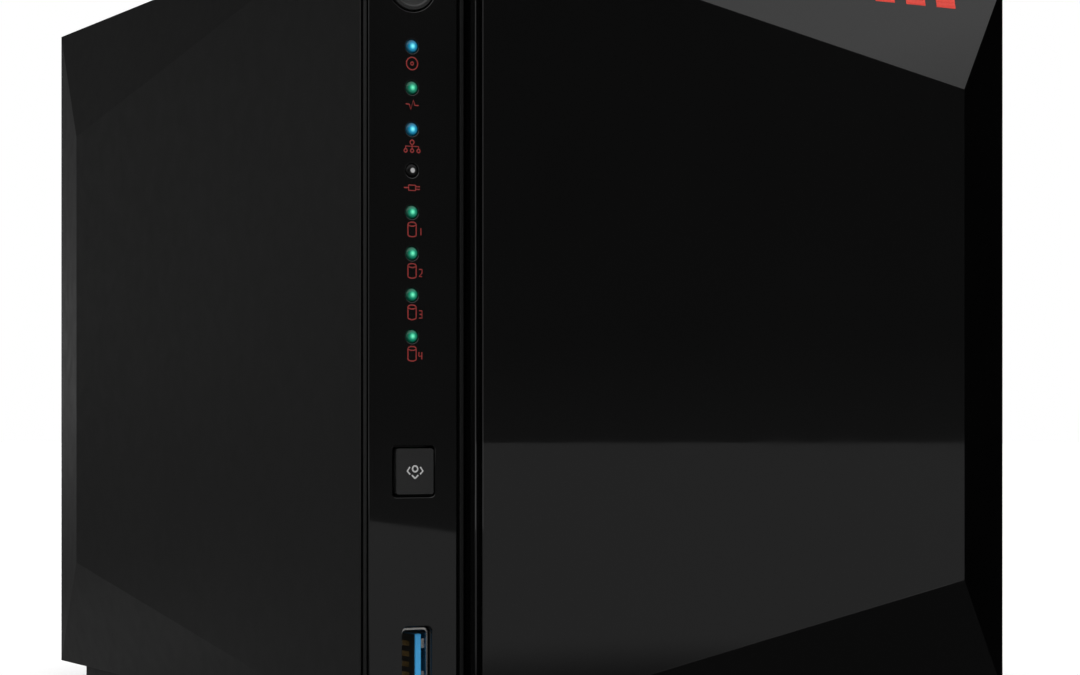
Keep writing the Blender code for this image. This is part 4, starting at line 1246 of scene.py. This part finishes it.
def rotor(x, z):
    """Hub and twisted blades. Each blade is a loft of curved sections from the hub to the tip."""
    middle = 86.2
    front, back = middle - 9, middle + 9
    profile = ((0, front), (17.5, front), (19.2, front + 0.6), (20, front + 2), (20, back), (0, back))
    hub = turned("rotor_with_blades", profile, [(x, 0.0, z)], segments=64)
    blades = bmesh.new()
    sections, points = 10, 9
    for blade in range(9):
        rings = []
        for step in range(sections):
            share = step / (sections - 1)
            radius = 17.0 + share * 39.0
            pitch = math.radians(48 - 24 * share)
            chord = 22.0 + 9.6 * share
            outline = []
            for surface in (-1, 1):
                for i in range(points):
                    along = (i / (points - 1) - 0.5) * -surface
                    thick = surface * (0.35 + 0.5 * math.cos(math.pi * along))
                    outline.append((along, thick))
            section = []
            for along, thick in outline:
                sweep = math.tau * blade / 9 + (along * chord * math.cos(pitch) + 12.0 * share) / radius
                camber = 1.4 * math.cos(math.pi * along)
                depth = middle + 0.1 + along * chord * math.sin(pitch) * 0.6 + thick * 0.9 + camber
                point = Vector((x + radius * math.cos(sweep), depth, z + radius * math.sin(sweep)))
                section.append(point)
            rings.append(section)
        loft(blades, rings)
    carve(hub, "UNION", solid("blades", blades))
    dress(hub, DARK_PLASTIC, "fan_rotor", "fan_rotor")


# ---- stage ----

FLOOR_RADIUS = 11.0  # metres: the far edge of the floor is what the glossy front reflects as a line


def grey_floor():
    """Pale floor. In reflections it is a painted glow instead: dimmer, with painted shade close to the
    object's front and a painted brighter patch close behind it.
    """
    made = bpy.data.materials.new("floor_pale")
    made.use_nodes = True
    tree = made.node_tree
    tree.nodes.clear()
    place = object_space(tree)
    outside = vector_math(tree, "ABSOLUTE", place)
    beyond = vector_math(tree, "MAXIMUM", vector_math(tree, "SUBTRACT", outside, (0.084, 0.105, 0.0)))
    distance = vector_math(tree, "LENGTH", beyond, give="Value")
    # Painted shade in the reflected floor, darkest close to the object's front. Behind the object, a painted
    # brighter patch close to it.
    painted_shade_ahead = mapped(tree, distance, (0.08, 0.3), (0.05, 0.37), interpolation_type="SMOOTHSTEP")
    behind = mapped(tree, distance, (0.1, 0.4), (0.15, 0.01), interpolation_type="SMOOTHSTEP")
    share = mapped(tree, add(tree, "SeparateXYZ", {"Vector": place}, "Y"), (-0.1, 0.1))
    level = add(tree, "Mix", {"Factor": share, "A": painted_shade_ahead, "B": behind})
    painted_reflection = add(tree, "Emission", {"Color": WHITE, "Strength": level})
    shown = add(tree, "BsdfDiffuse", {"Color": (0.9, 0.9, 0.9, 1.0)})
    glossy = add(tree, "LightPath", give="Is Glossy Ray")
    mixed = add(tree, "MixShader", {0: glossy, 1: shown, 2: painted_reflection})
    add(tree, "OutputMaterial", {"Surface": mixed})
    return made


def stage():
    bm = bmesh.new()
    bmesh.ops.create_circle(bm, cap_ends=True, segments=128, radius=FLOOR_RADIUS)
    mesh = bpy.data.meshes.new("floor")
    bm.to_mesh(mesh)
    bm.free()
    mesh.materials.append(grey_floor())
    floor = placed("floor", mesh)
    flag = boxes("black_flag", [((130, 132), (-155, 20), (0.5, 185))])
    black, _ = principled("flag_black", Base_Color=BLACK, Roughness=1.0, Specular_IOR_Level=0.0)
    flag.data.materials.append(black)
    flag.visible_camera = False
    flag.visible_diffuse = False
    flag.visible_shadow = False


def world():
    """White behind the object. All else sees a light tent above and a dim band at eye level.

    Glossy rays that go backwards see a darker tent, so the side panels stay black.
    """
    made = bpy.data.worlds.new("studio")
    bpy.context.scene.world = made
    made.use_nodes = True
    tree = made.node_tree
    tree.nodes.clear()
    way = {"Vector": add(tree, "TexCoord", give="Generated")}
    depth, up = (add(tree, "SeparateXYZ", way, axis) for axis in "YZ")
    bands = ((0.0, 0.1), (0.03, 0.07), (0.16, 0.06), (0.3, 0.14), (0.4, 1.1), (1.0, 1.15))
    tent = grey_ramp(tree, up, bands)
    dim = grey_ramp(tree, up, ((0.0, 0.06), (0.08, 0.16), (0.2, 0.03), (1.0, 0.03)))
    backwards = mapped(tree, depth, (0.0, 0.3))
    glossy, seen = (add(tree, "LightPath", give=f"Is {kind} Ray") for kind in ("Glossy", "Camera"))
    share = add(tree, "Math", {0: backwards, 1: glossy}, operation="MULTIPLY")
    level = add(tree, "Mix", {"Factor": share, "A": tent, "B": dim})
    lit = add(tree, "Background", {"Color": WHITE, "Strength": level})
    white = add(tree, "Background", {"Color": WHITE})
    add(tree, "OutputWorld", {"Surface": add(tree, "MixShader", {0: seen, 1: lit, 2: white})})


def lamp(name, place, size, radiance):
    """A rectangular soft light that faces the object. Its power gives it that radiance."""
    data = bpy.data.lights.new(name, "AREA")
    data.shape = "RECTANGLE"
    data.size, data.size_y = size
    data.energy = radiance * math.pi * size[0] * size[1]
    made = placed(name, data)
    made.location = place
    made.rotation_euler = (Vector((0.0, 0.0, 0.1)) - Vector(place)).to_track_quat("-Z", "Y").to_euler()
    made.visible_camera = False


def lights():
    lamp("edge_light", (-1.15, -0.62, 0.35), (0.9, 1.3), 0.9)
    lamp("rear_light", (-0.1, 2.5, 0.12), (0.7, 0.22), 0.42)
    lamp("side_light", (1.6, -0.68, 0.25), (0.5, 0.8), 1.0)
    sun = bpy.data.lights.new("overhead", "SUN")
    sun.energy = 1.1
    sun.angle = math.radians(50)
    overhead = placed("overhead", sun)
    overhead.rotation_euler = (math.radians(18), math.radians(-14), 0.0)
    overhead.visible_glossy = False


def camera():
    """Level with the lower third of the object, from its front left."""
    data = bpy.data.cameras.new("camera")
    data.lens = 92.8
    data.shift_y = 0.0817
    data.clip_start = 0.01
    data.clip_end = 100.0
    made = placed("camera", data)
    made.location = Vector((-330.9, -616.8, 70.2)) * MM
    made.rotation_euler = (math.pi / 2, 0.0, math.radians(-29.2))
    bpy.context.scene.camera = made
    bpy.context.scene.view_settings.view_transform = "Standard"


side_panel("left_side_panel", -1, SHELL_FRONT)
side_panel("right_side_panel", 1, RIGHT_PANEL_FRONT)
top_cover()
base()
front_cover()
status_strip()
status_lights()
strip_symbols()
power_button()
copy_button()
usb_port("front_usb", "usb_front_shell", -1, 1.0, "usb_front_tongue")
usb_port("rear_usb_upper", "usb_rear_upper", 1)
usb_port("rear_usb_lower", "usb_rear_lower", 1)
network_socket()
power_inlet()
bay_parts()
boards()
rear_panel()
fan()
stage()
world()
lights()
camera()
